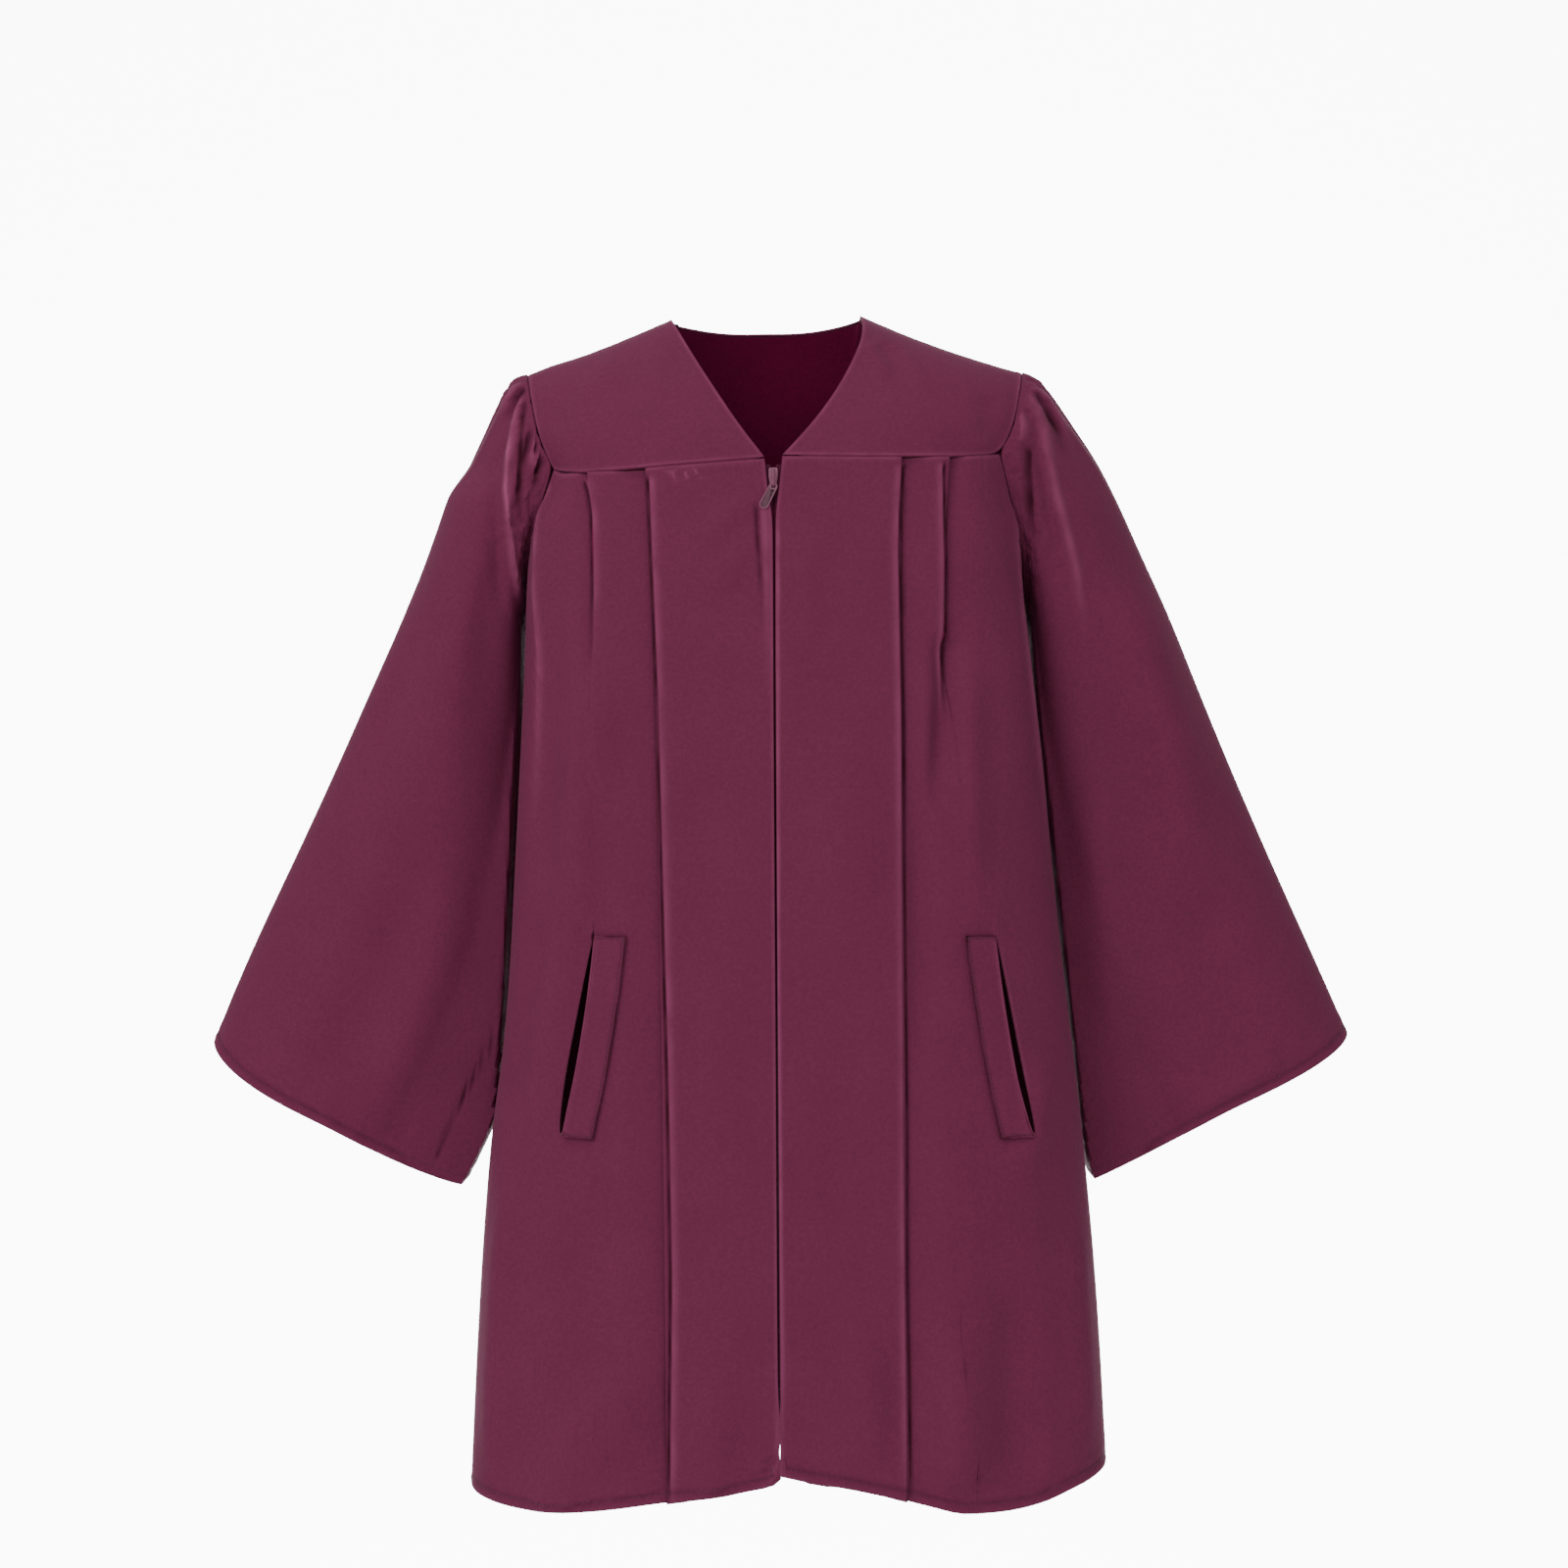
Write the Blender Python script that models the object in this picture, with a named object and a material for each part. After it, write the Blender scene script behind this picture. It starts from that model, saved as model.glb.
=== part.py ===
"""Child's graduation gown, filled out as worn, with nobody in it.

Metres. X to the wearer's left, the front faces -Y, Z up. The origin is on the
shoulders, midway between the two neck points. Right and left are the wearer's.
"""
import math

import bmesh
import bpy
from mathutils import Vector

CLOTH = 0.0014
SEAM_GAP = 0.0005
LAYER_GAP = 0.0004
SIDES = {"right": -1, "left": 1}

# The body as a ring at each height: half widths, front and back depth, where
# along the depth it is widest, and how square its front and back corners are.
BODY = (
    ("drop", "right", "left", "front", "back", "widest", "square_front", "square_back"),
    (0.072, 0.1235, 0.1252, -0.0815, 0.085, -0.008, 3.0, 3.0),
    (0.090, 0.1282, 0.1277, -0.0840, 0.088, -0.010, 3.0, 3.0),
    (0.112, 0.1323, 0.1292, -0.0870, 0.091, -0.016, 2.9, 2.8),
    (0.140, 0.1350, 0.1314, -0.0915, 0.094, -0.024, 2.8, 2.6),
    (0.167, 0.1365, 0.1338, -0.0940, 0.097, -0.031, 2.7, 2.4),
    (0.225, 0.1392, 0.1403, -0.0990, 0.100, -0.040, 2.6, 2.2),
    (0.284, 0.1424, 0.1462, -0.1035, 0.103, -0.045, 2.5, 2.1),
    (0.341, 0.1450, 0.1520, -0.1070, 0.106, -0.045, 2.5, 2.1),
    (0.400, 0.1492, 0.1589, -0.1100, 0.109, -0.045, 2.5, 2.1),
    (0.440, 0.1551, 0.1634, -0.1120, 0.112, -0.045, 2.5, 2.1),
    (0.546, 0.1625, 0.1727, -0.1160, 0.118, -0.045, 2.5, 2.1),
    (0.645, 0.1668, 0.1775, -0.1180, 0.122, -0.045, 2.5, 2.1),
)

# The front opening: where the zip runs, and each front edge's distance from it.
OPENING = (
    ("drop", "middle", "right", "left"),
    (0.072, -0.0030, 0.0050, 0.0050),
    (0.084, -0.0030, 0.0046, 0.0047),
    (0.0945, -0.0030, 0.0032, 0.0033),
    (0.1000, -0.0030, 0.0030, 0.0031),
    (0.1080, -0.0026, 0.0009, 0.0009),
    (0.170, -0.0024, 0.0006, 0.0006),
    (0.400, -0.0010, 0.0006, 0.0006),
    (0.590, 0.0003, 0.0007, 0.0007),
    (0.598, 0.0005, 0.0012, 0.0012),
    (0.608, 0.0007, 0.0012, 0.0012),
    (0.616, 0.0008, 0.0005, 0.0005),
    (0.645, 0.0010, 0.0005, 0.0005),
)

# The armhole's depth forward and back on the body, below the yoke seams.
ARMHOLE = (
    ("drop", "front", "back"),
    (0.072, -0.0505, 0.0600),
    (0.090, -0.0490, 0.0590),
    (0.110, -0.0440, 0.0560),
    (0.130, -0.0340, 0.0500),
    (0.150, -0.0170, 0.0400),
    (0.160, -0.0050, 0.0300),
    (0.167, 0.0120, 0.0120),
    (0.645, 0.0120, 0.0120),
)
UNDERARM = 0.167

# Yoke seam and hem, from the centre (0) round to the side (1).
YOKE_SEAM = (
    ("out", "right", "left", "back"),
    (0.00, 0.0822, 0.0811, 0.0905),
    (0.35, 0.0855, 0.0814, 0.0905),
    (0.70, 0.0885, 0.0807, 0.0895),
    (0.90, 0.0888, 0.0790, 0.0875),
    (1.00, 0.0860, 0.0775, 0.0860),
)
HEM = (
    ("out", "right", "left", "back_right", "back_left"),
    (0.00, 0.6190, 0.6145, 0.6230, 0.6230),
    (0.05, 0.6215, 0.6178, 0.6230, 0.6230),
    (0.12, 0.6254, 0.6205, 0.6232, 0.6230),
    (0.20, 0.6283, 0.6252, 0.6238, 0.6230),
    (0.28, 0.6308, 0.6305, 0.6245, 0.6230),
    (0.37, 0.6340, 0.6355, 0.6255, 0.6228),
    (0.45, 0.6357, 0.6350, 0.6262, 0.6225),
    (0.52, 0.6364, 0.6316, 0.6270, 0.6220),
    (0.61, 0.6348, 0.6255, 0.6278, 0.6212),
    (0.70, 0.6318, 0.6200, 0.6284, 0.6205),
    (0.80, 0.6300, 0.6190, 0.6288, 0.6198),
    (1.00, 0.6290, 0.6190, 0.6290, 0.6190),
)

# Knife pleats: the folded edge's place across the body, how deep the cloth
# folds under, and how far round the two folds still turn.
PLEATS = {
    ("right", "long"): (
        ("drop", "across", "under", "turn"),
        (0.080, 0.0700, 0.0090, 180),
        (0.180, 0.0648, 0.0090, 180),
        (0.400, 0.0600, 0.0085, 180),
        (0.645, 0.0565, 0.0080, 180),
    ),
    ("right", "short"): (
        ("drop", "across", "under", "turn"),
        (0.080, 0.1030, 0.0060, 180),
        (0.110, 0.0985, 0.0050, 180),
        (0.150, 0.0975, 0.0014, 180),
        (0.175, 0.0970, 0.0012, 100),
        (0.210, 0.0955, 0.0040, 30),
        (0.260, 0.0900, 0.0060, 8),
        (0.310, 0.0850, 0.0060, 0),
        (0.645, 0.0860, 0.0060, 0),
    ),
    ("left", "long"): (
        ("drop", "across", "under", "turn"),
        (0.080, 0.0640, 0.0090, 180),
        (0.180, 0.0630, 0.0090, 180),
        (0.400, 0.0635, 0.0085, 180),
        (0.645, 0.0655, 0.0080, 180),
    ),
    ("left", "short"): (
        ("drop", "across", "under", "turn"),
        (0.078, 0.0900, 0.0060, 180),
        (0.110, 0.0880, 0.0050, 180),
        (0.160, 0.0865, 0.0014, 180),
        (0.185, 0.0865, 0.0012, 100),
        (0.220, 0.0875, 0.0040, 30),
        (0.270, 0.0890, 0.0060, 8),
        (0.320, 0.0900, 0.0060, 0),
        (0.645, 0.0960, 0.0060, 0),
    ),
    ("back", "inner"): (
        ("drop", "across", "under", "turn"),
        (0.085, 0.0420, 0.0090, 180),
        (0.400, 0.0460, 0.0085, 180),
        (0.645, 0.0500, 0.0080, 180),
    ),
    ("back", "outer"): (
        ("drop", "across", "under", "turn"),
        (0.085, 0.0800, 0.0060, 180),
        (0.130, 0.0810, 0.0040, 180),
        (0.160, 0.0820, 0.0014, 180),
        (0.190, 0.0830, 0.0012, 100),
        (0.230, 0.0840, 0.0040, 30),
        (0.290, 0.0850, 0.0060, 8),
        (0.340, 0.0850, 0.0060, 0),
        (0.645, 0.0950, 0.0060, 0),
    ),
}

# Pocket slit: its middle line across the body and its width down its length.
SLIT_TOP = 0.3345
SLIT_END = 0.4395
SLIT = (
    ("drop", "right", "left", "width"),
    (0.3345, 0.0961, 0.1136, 0.0010),
    (0.3620, 0.1004, 0.1182, 0.0034),
    (0.3880, 0.1048, 0.1228, 0.0046),
    (0.4130, 0.1092, 0.1273, 0.0050),
    (0.4395, 0.1137, 0.1319, 0.0024),
    (0.645, 0.1260, 0.1420, 0.0010),
)
WELT_WIDTH = 0.0165


def smooth(value):
    value = min(1.0, max(0.0, value))
    return value * value * (3.0 - 2.0 * value)


def read(table, name, key):
    """One named column of a table, curved between its rows."""
    column = table[0].index(name)
    rows = table[1:]
    if key <= rows[0][0]:
        return rows[0][column]
    if key >= rows[-1][0]:
        return rows[-1][column]
    spot = max(i for i in range(len(rows) - 1) if rows[i][0] <= key)
    low, high = rows[spot], rows[spot + 1]
    before = rows[max(spot - 1, 0)]
    after = rows[min(spot + 2, len(rows) - 1)]
    span = high[0] - low[0]
    rise = (high[column] - low[column]) / span
    slopes = []
    for a, b in ((before, low), (high, after)):
        run = b[0] - a[0]
        other = (b[column] - a[column]) / run if run > 0 else rise
        slopes.append(0.0 if other * rise <= 0 else 2.0 * other * rise / (other + rise))
    t = (key - low[0]) / span
    return (
        low[column] * (2 * t**3 - 3 * t**2 + 1)
        + slopes[0] * span * (t**3 - 2 * t**2 + t)
        + high[column] * (3 * t**2 - 2 * t**3)
        + slopes[1] * span * (t**3 - t**2)
    )


def half_ring(side, drop, steps=90):
    """Points round one half of the body, centre front to centre back."""
    wide = read(BODY, side, drop)
    front = read(BODY, "front", drop)
    back = read(BODY, "back", drop)
    widest = read(BODY, "widest", drop)
    middle = read(OPENING, "middle", drop)
    sign = SIDES[side]
    points = []
    for step in range(2 * steps + 1):
        angle = math.pi / 2 * step / steps
        if step <= steps:
            power = 2.0 / read(BODY, "square_front", drop)
            depth = widest + (front - widest) * math.cos(angle) ** power
        else:
            power = 2.0 / read(BODY, "square_back", drop)
            depth = widest + (back - widest) * abs(math.cos(angle)) ** power
        across = max(0.0, math.sin(angle)) ** power
        points.append(Vector((middle + (sign * wide - middle) * across, depth)))
    points[-1].x = middle
    run = [0.0]
    for a, b in zip(points, points[1:]):
        run.append(run[-1] + (b - a).length)
    return points, run


RINGS = {}


def ring_at(side, drop):
    key = (side, round(drop, 6))
    if key not in RINGS:
        RINGS[key] = half_ring(side, drop)
    return RINGS[key]


def lay(side, drop, along, lift=0.0):
    """A point on the body, a distance round from centre front, lifted outward."""
    points, run = ring_at(side, drop)
    spot = 0
    high = len(run) - 2
    while spot < high:
        mid = (spot + high + 1) // 2
        if run[mid] <= along:
            spot = mid
        else:
            high = mid - 1
    a, b = points[spot], points[spot + 1]
    t = (along - run[spot]) / (run[spot + 1] - run[spot])
    flat = a.lerp(b, t)
    before = points[max(spot - 1, 0)]
    after = points[min(spot + 2, len(points) - 1)]
    way = ((b - before) * (1 - t) + (after - a) * t).normalized()
    out = Vector((way.y, -way.x)) * SIDES[side]
    return Vector((flat.x + out.x * lift, flat.y + out.y * lift, -drop))


def along_at_depth(side, drop, depth):
    points, run = ring_at(side, drop)
    for spot in range(len(points) - 1):
        if points[spot].y <= depth <= points[spot + 1].y:
            t = (depth - points[spot].y) / max(points[spot + 1].y - points[spot].y, 1e-9)
            return run[spot] + t * (run[spot + 1] - run[spot])
    return run[-1]


def along_at_across(side, drop, across, back=False):
    points, run = ring_at(side, drop)
    middle = points[0].x
    order = range(len(points) - 1)
    if back:
        order = reversed(order)
    for spot in order:
        near, far = abs(points[spot].x), abs(points[spot + 1].x)
        if back:
            near, far = far, near
        if SIDES[side] * points[spot].x < min(0.0, SIDES[side] * middle) - 1e-9:
            continue
        if near <= across <= far:
            t = (across - near) / max(far - near, 1e-9)
            if back:
                t = 1.0 - t
            return run[spot] + t * (run[spot + 1] - run[spot])
    return run[len(points) // 2]


def fold_path(under, turn):
    """Shape of a knife pleat: steps along and steps in, one pair a column."""
    bend = math.radians(turn)
    arc = max(bend * (CLOTH + LAYER_GAP) / 2, 0.0010)
    path = [(0.0, 0.0)]
    pieces = [(arc / 3, bend * (k + 0.5) / 3) for k in range(3)]
    pieces.append((under, bend))
    pieces += [(arc / 3, bend * (2.5 - k) / 3) for k in range(3)]
    for length, heading in pieces:
        s, lift = path[-1]
        path.append((s + length * math.cos(heading), lift - length * math.sin(heading)))
    return path


def shell(name, rows, thickness, closed=False, holes=(), flat=False, normals=None):
    """A closed cloth wall either side of a grid of points."""
    tall, wide = len(rows), len(rows[0])

    def normal(i, j):
        if flat:
            row = rows[i]
            a = row[(j - 1) % wide] if closed or j > 0 else row[j]
            b = row[(j + 1) % wide] if closed or j < wide - 1 else row[j]
            ways = []
            for p, q in ((a, row[j]), (row[j], b)):
                way = Vector((q.x - p.x, q.y - p.y, 0.0))
                if way.length > 1e-9:
                    ways.append(way.normalized())
            way = sum(ways, Vector())
            return Vector((way.y, -way.x, 0.0)).normalized()
        a = rows[i][(j - 1) % wide] if closed or j > 0 else rows[i][j]
        b = rows[i][(j + 1) % wide] if closed or j < wide - 1 else rows[i][j]
        c = rows[max(i - 1, 0)][j]
        d = rows[min(i + 1, tall - 1)][j]
        return (b - a).cross(c - d).normalized()

    outer, inner = [], []
    for i in range(tall):
        for j in range(wide):
            half = normal(i, j) * thickness / 2
            outer.append(rows[i][j] + half)
            inner.append(rows[i][j] - half)
    count = tall * wide
    across = wide if closed else wide - 1
    cells = [(i, j) for i in range(tall - 1) for j in range(across) if (i, j) not in holes]
    faces = []
    edges = {}
    for i, j in cells:
        k = (j + 1) % wide
        loop = (i * wide + j, i * wide + k, (i + 1) * wide + k, (i + 1) * wide + j)
        faces.append(loop)
        faces.append(tuple(count + loop[v] for v in (0, 3, 2, 1)))
        for a, b in zip(loop, loop[1:] + loop[:1]):
            edges[(a, b)] = True
    for a, b in edges:
        if (b, a) not in edges:
            faces.append((b, a, count + a, count + b))
    return make(name, outer + inner, faces)


def make(name, points, faces):
    mesh = bpy.data.meshes.new(name)
    mesh.from_pydata([tuple(p) for p in points], [], faces)
    shape = bmesh.new()
    shape.from_mesh(mesh)
    bmesh.ops.recalc_face_normals(shape, faces=shape.faces)
    if shape.calc_volume(signed=True) < 0:
        bmesh.ops.reverse_faces(shape, faces=shape.faces)
    shape.to_mesh(mesh)
    shape.free()
    thing = bpy.data.objects.new(name, mesh)
    bpy.context.collection.objects.link(thing)
    return thing


def cloth(name, colour):
    material = bpy.data.materials.new(name)
    material.use_nodes = True
    surface = material.node_tree.nodes["Principled BSDF"]
    surface.inputs["Base Color"].default_value = colour
    surface.inputs["Roughness"].default_value = 0.85
    return material


bpy.data.objects.remove(bpy.data.objects["Cube"])
PLUM = cloth("plum_cloth", (0.148, 0.027, 0.068, 1.0))
WELT = cloth("plum_welt", (0.140, 0.025, 0.064, 1.0))
TAPE_CLOTH = cloth("plum_tape", (0.060, 0.008, 0.026, 1.0))
METAL = cloth("plum_painted", (0.120, 0.025, 0.058, 1.0))

# Front panels. Each hangs from its yoke seam to the hem, edged by the zip, the
# armhole and the side seam. Rows are heights; two fall on the slit's ends.
LEVELS = (0.0, 0.013, 0.032, 0.055, 0.085, 0.115, 0.152, 0.205, 0.27, 0.36)
LOW_LEVELS = (0.72, 0.80, 0.90, 1.0)


def front_columns(side, drop):
    """Distances round and lifts of every column of a front panel at a height."""
    start = read(OPENING, side, drop)
    edge = along_at_depth(side, drop, read(ARMHOLE, "front", drop))
    columns = [(start, 0.0)]
    long_table = PLEATS[(side, "long")]
    short_table = PLEATS[(side, "short")]
    first = along_at_across(side, drop, read(long_table, "across", drop))
    second = along_at_across(side, drop, read(short_table, "across", drop))
    for part in (0.2, 0.55, 0.9):
        columns.append((start + (first - start) * part, 0.0))
    path = fold_path(read(long_table, "under", drop), read(long_table, "turn", drop))
    columns += [(first + s, lift) for s, lift in path]
    sunk = columns[-1][1]
    leave = first + 0.0035
    reach = min(0.026, (second - leave) * 0.75)
    for part, left in ((0.0, 1.0), (0.45, 0.55), (1.0, 0.0)):
        columns.append((leave + reach * part, sunk * left))
    columns.append((second - 0.12 * (second - leave), 0.0))
    path = fold_path(read(short_table, "under", drop), read(short_table, "turn", drop))
    columns += [(second + s, lift) for s, lift in path]
    sunk = columns[-1][1]
    leave = max(second + 0.0035, columns[-1][0] + 0.0015)
    slit = along_at_across(side, drop, read(SLIT, side, drop))
    half = read(SLIT, "width", drop) / 2
    share = smooth((drop - 0.11) / (SLIT_TOP - 0.11))
    slit = slit * share + (leave + (edge - leave) * 0.45) * (1 - share)
    half = min(half, (edge - leave) * 0.06)
    near = slit - half - leave
    for part, left in ((0.0, 1.0), (0.35, 0.4), (0.70, 0.05), (1.0, 0.0)):
        columns.append((leave + near * part, sunk * left))
    columns.append((slit + half, 0.0))
    side_width = edge - slit - half
    for part in (0.2, 0.4, 0.6, 0.8, 1.0):
        columns.append((slit + half + side_width * part, 0.0))
    return columns


SLIT_COLUMN = 27


def front_rows(side):
    top_slit = read(YOKE_SEAM, side, 0.75)
    low_slit = read(HEM, side, 0.75)
    span = low_slit - top_slit
    slit_levels = [
        (drop - top_slit) / span
        for drop in (SLIT_TOP, 0.3620, 0.3880, 0.4130, SLIT_END)
    ]
    levels = [level for level in LEVELS if level < slit_levels[0] - 0.02]
    levels += slit_levels + list(LOW_LEVELS)
    count = len(front_columns(side, 0.3))
    rows = []
    for level in levels:
        middle = top_slit + span * level
        edge = along_at_depth(side, middle, read(ARMHOLE, "front", middle))
        shares = [s / edge for s, lift in front_columns(side, middle)]
        row = []
        for j in range(count):
            share = min(1.0, max(0.0, shares[j]))
            if j in (SLIT_COLUMN, SLIT_COLUMN + 1) and level in slit_levels:
                drop = middle
            else:
                top = read(YOKE_SEAM, side, share) + SEAM_GAP
                drop = top + (read(HEM, side, share) - top) * level
            s, lift = front_columns(side, drop)[j]
            row.append(lay(side, drop, s, lift))
        rows.append(row)
    first = levels.index(slit_levels[0])
    holes = {(first + k, SLIT_COLUMN) for k in range(len(slit_levels) - 1)}
    return rows, holes


for side in SIDES:
    rows, holes = front_rows(side)
    if side == "right":
        rows = [row[::-1] for row in rows]
        wide = len(rows[0])
        holes = {(i, wide - 2 - j) for i, j in holes}
    panel = shell("front_panel_" + side, rows, CLOTH, holes=holes, flat=True)
    panel.data.materials.append(PLUM)

# Back panel. One piece from side seam to side seam, with two pleats a side.
BACK_LEVELS = (0.0, 0.02, 0.05, 0.09, 0.135, 0.20, 0.28, 0.40, 0.55, 0.70, 0.86, 1.0)


def back_columns(side, drop):
    """Distances round from centre back, and lifts, of half the back's columns."""
    whole = ring_at(side, drop)[1][-1]
    edge = whole - along_at_depth(side, drop, read(ARMHOLE, "back", drop) + 0.0005)
    inner = PLEATS[("back", "inner")]
    outer = PLEATS[("back", "outer")]
    first = whole - along_at_across(side, drop, read(inner, "across", drop), back=True)
    second = whole - along_at_across(side, drop, read(outer, "across", drop), back=True)
    columns = [(0.0, 0.0), (first * 0.5, 0.0), (first * 0.9, 0.0)]
    path = fold_path(read(inner, "under", drop), read(inner, "turn", drop))
    columns += [(first + s, lift) for s, lift in path]
    sunk = columns[-1][1]
    leave = first + 0.0035
    reach = min(0.026, (second - leave) * 0.75)
    for part, left in ((0.0, 1.0), (0.45, 0.55), (1.0, 0.0)):
        columns.append((leave + reach * part, sunk * left))
    columns.append((second - 0.12 * (second - leave), 0.0))
    path = fold_path(read(outer, "under", drop), read(outer, "turn", drop))
    columns += [(second + s, lift) for s, lift in path]
    sunk = columns[-1][1]
    leave = max(second + 0.0035, columns[-1][0] + 0.0015)
    for part, left in ((0.0, 1.0), (0.2, 0.5), (0.4, 0.1), (0.6, 0.0), (0.8, 0.0), (1.0, 0.0)):
        columns.append((leave + (edge - leave) * part, sunk * left))
    return columns


def back_half(side):
    rows = []
    count = len(back_columns(side, 0.3))
    for level in BACK_LEVELS:
        middle = 0.09 + 0.54 * level
        whole = back_columns(side, middle)
        row = []
        for j in range(count):
            share = min(1.0, max(0.0, whole[j][0] / whole[-1][0]))
            top = read(YOKE_SEAM, "back", share) + SEAM_GAP
            drop = top + (read(HEM, "back_" + side, share) - top) * level
            s, lift = back_columns(side, drop)[j]
            row.append(lay(side, drop, ring_at(side, drop)[1][-1] - s, lift))
        rows.append(row)
    return rows


rows = [
    a[::-1] + b[1:]
    for a, b in zip(back_half("left"), back_half("right"))
]
panel = shell("back_panel", rows, CLOTH, flat=True)
panel.data.materials.append(PLUM)

# Yokes. The front ones run from behind the shoulder line over it and down to
# the yoke seam, edged by the V neck and the armhole. The back one is one piece.
SHOULDER = (
    ("out", "right", "left"),
    (0.00, -0.0004, -0.0026),
    (0.12, 0.0036, 0.0022),
    (0.30, 0.0098, 0.0088),
    (0.50, 0.0162, 0.0154),
    (0.75, 0.0230, 0.0228),
    (0.92, 0.0268, 0.0272),
    (1.00, 0.0300, 0.0290),
)
NECK_POINT = {"right": 0.0594, "left": 0.0443}
SHOULDER_TIP = {"right": 0.1377, "left": 0.1330}
SHOULDER_SEAM = 0.0080
NECK_BOW = (
    ("down", "right", "left"),
    (0.00, 0.0000, 0.0000),
    (0.10, 0.0010, 0.0055),
    (0.20, 0.0018, 0.0090),
    (0.40, 0.0028, 0.0108),
    (0.65, 0.0027, 0.0108),
    (0.80, 0.0026, 0.0070),
    (0.92, 0.0018, 0.0024),
    (1.00, 0.0000, 0.0000),
)
ARM_BOW = (
    ("down", "front", "back"),
    (0.00, 0.0000, 0.0000),
    (0.35, 0.0018, 0.0010),
    (0.70, 0.0030, 0.0015),
    (1.00, 0.0000, 0.0000),
)
ROUND = 2.0 / 1.75
LAST_TURN = math.radians(80)


def profile(top, foot, begin, turn):
    """Depth and share down of a yoke that rounds from the shoulder to a seam."""
    share = (abs(begin) / abs(foot)) ** (1 / ROUND) * math.sin(LAST_TURN)
    first = math.asin(min(1.0, share))
    angle = first + (LAST_TURN - first) * turn
    depth = foot * (math.sin(angle) / math.sin(LAST_TURN)) ** ROUND
    fall = math.cos(first) ** ROUND - math.cos(angle) ** ROUND
    whole = math.cos(first) ** ROUND - math.cos(LAST_TURN) ** ROUND
    return depth, fall / whole


def front_yoke_point(side, out, down):
    sign = SIDES[side]
    top = read(SHOULDER, side, out)
    across = NECK_POINT[side] + (SHOULDER_TIP[side] - NECK_POINT[side]) * out
    if down < 0:
        return Vector((sign * across, SHOULDER_SEAM * -down, -top - 0.0007 * down * down))
    drop = read(YOKE_SEAM, side, out)
    start = read(OPENING, side, drop)
    edge = along_at_depth(side, drop, read(ARMHOLE, "front", drop))
    foot = lay(side, drop, start + (edge - start) * out)
    depth, share = profile(top, foot.y, 0.0, down)
    bow = read(NECK_BOW, side, share) * (1 - out) ** 2
    bow += read(ARM_BOW, "front", share) * out ** 2
    x = sign * across + (foot.x - sign * across) * share + sign * bow
    return Vector((x, depth, -top + (foot.z + top) * share))


OUTS = (0.0, 0.08, 0.22, 0.38, 0.54, 0.70, 0.86, 1.0)
DOWNS = (-1.0, 0.0, 0.14, 0.28, 0.42, 0.56, 0.70, 0.85, 1.0)
for side in SIDES:
    rows = [[front_yoke_point(side, out, down) for out in OUTS] for down in DOWNS]
    if side == "right":
        rows = [row[::-1] for row in rows]
    yoke = shell("front_yoke_" + side, rows, CLOTH)
    yoke.data.materials.append(PLUM)

BACK_NECK_DEPTH = 0.042
BACK_NECK_RISE = 0.0165


def back_yoke_point(side, out, down):
    """out is 0 at centre back, 0.42 under the neck point, 1 at the armhole."""
    sign = SIDES[side]
    middle = (NECK_POINT["left"] - NECK_POINT["right"]) / 2
    if out < 0.42:
        half = (NECK_POINT["left"] + NECK_POINT["right"]) / 2
        angle = math.pi / 2 * (1 - out / 0.42)
        begin = 0.0085 + (BACK_NECK_DEPTH - 0.0085) * math.sin(angle) ** 0.9
        x = middle + sign * half * math.cos(angle)
        line = read(SHOULDER, side, 0.0)
        other = read(SHOULDER, "left" if side == "right" else "right", 0.0)
        line += ((line + other) / 2 - line) * (1 - out / 0.42)
        line -= BACK_NECK_RISE * (1 - (out / 0.42) ** 1.25)
    else:
        part = (out - 0.42) / 0.58
        x = NECK_POINT[side] + (SHOULDER_TIP[side] - NECK_POINT[side]) * part
        x *= sign
        begin = 0.0085
        line = read(SHOULDER, side, part)
    drop = read(YOKE_SEAM, "back", out)
    points, run = ring_at(side, drop)
    edge = run[-1] - along_at_depth(side, drop, read(ARMHOLE, "back", drop))
    foot = lay(side, drop, run[-1] - edge * out)
    share = (begin / foot.y) ** (1 / ROUND) * math.sin(LAST_TURN)
    first = math.asin(share)
    angle = first + (LAST_TURN - first) * down
    depth = foot.y * (math.sin(angle) / math.sin(LAST_TURN)) ** ROUND
    whole = 1.0 - math.cos(LAST_TURN) ** ROUND
    fall = (1.0 - math.cos(angle) ** ROUND) / whole
    begun = (1.0 - math.cos(first) ** ROUND) / whole
    share = (fall - begun) / (1.0 - begun)
    bow = read(ARM_BOW, "back", share) * max(0.0, (out - 0.42) / 0.58) ** 2
    return Vector((x + (foot.x - x) * share + sign * bow, depth, -line + (foot.z + line) * fall))


BACK_OUTS = (0.08, 0.16, 0.24, 0.31, 0.37, 0.42, 0.52, 0.64, 0.76, 0.88, 1.0)
BACK_DOWNS = (0.0, 0.14, 0.28, 0.42, 0.56, 0.70, 0.85, 1.0)
rows = []
for down in BACK_DOWNS:
    row = [back_yoke_point("left", out, down) for out in reversed(BACK_OUTS)]
    row.append(back_yoke_point("left", 0.0, down))
    row += [back_yoke_point("right", out, down) for out in BACK_OUTS]
    rows.append(row)
yoke = shell("back_yoke", rows, CLOTH)
yoke.data.materials.append(PLUM)

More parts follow.
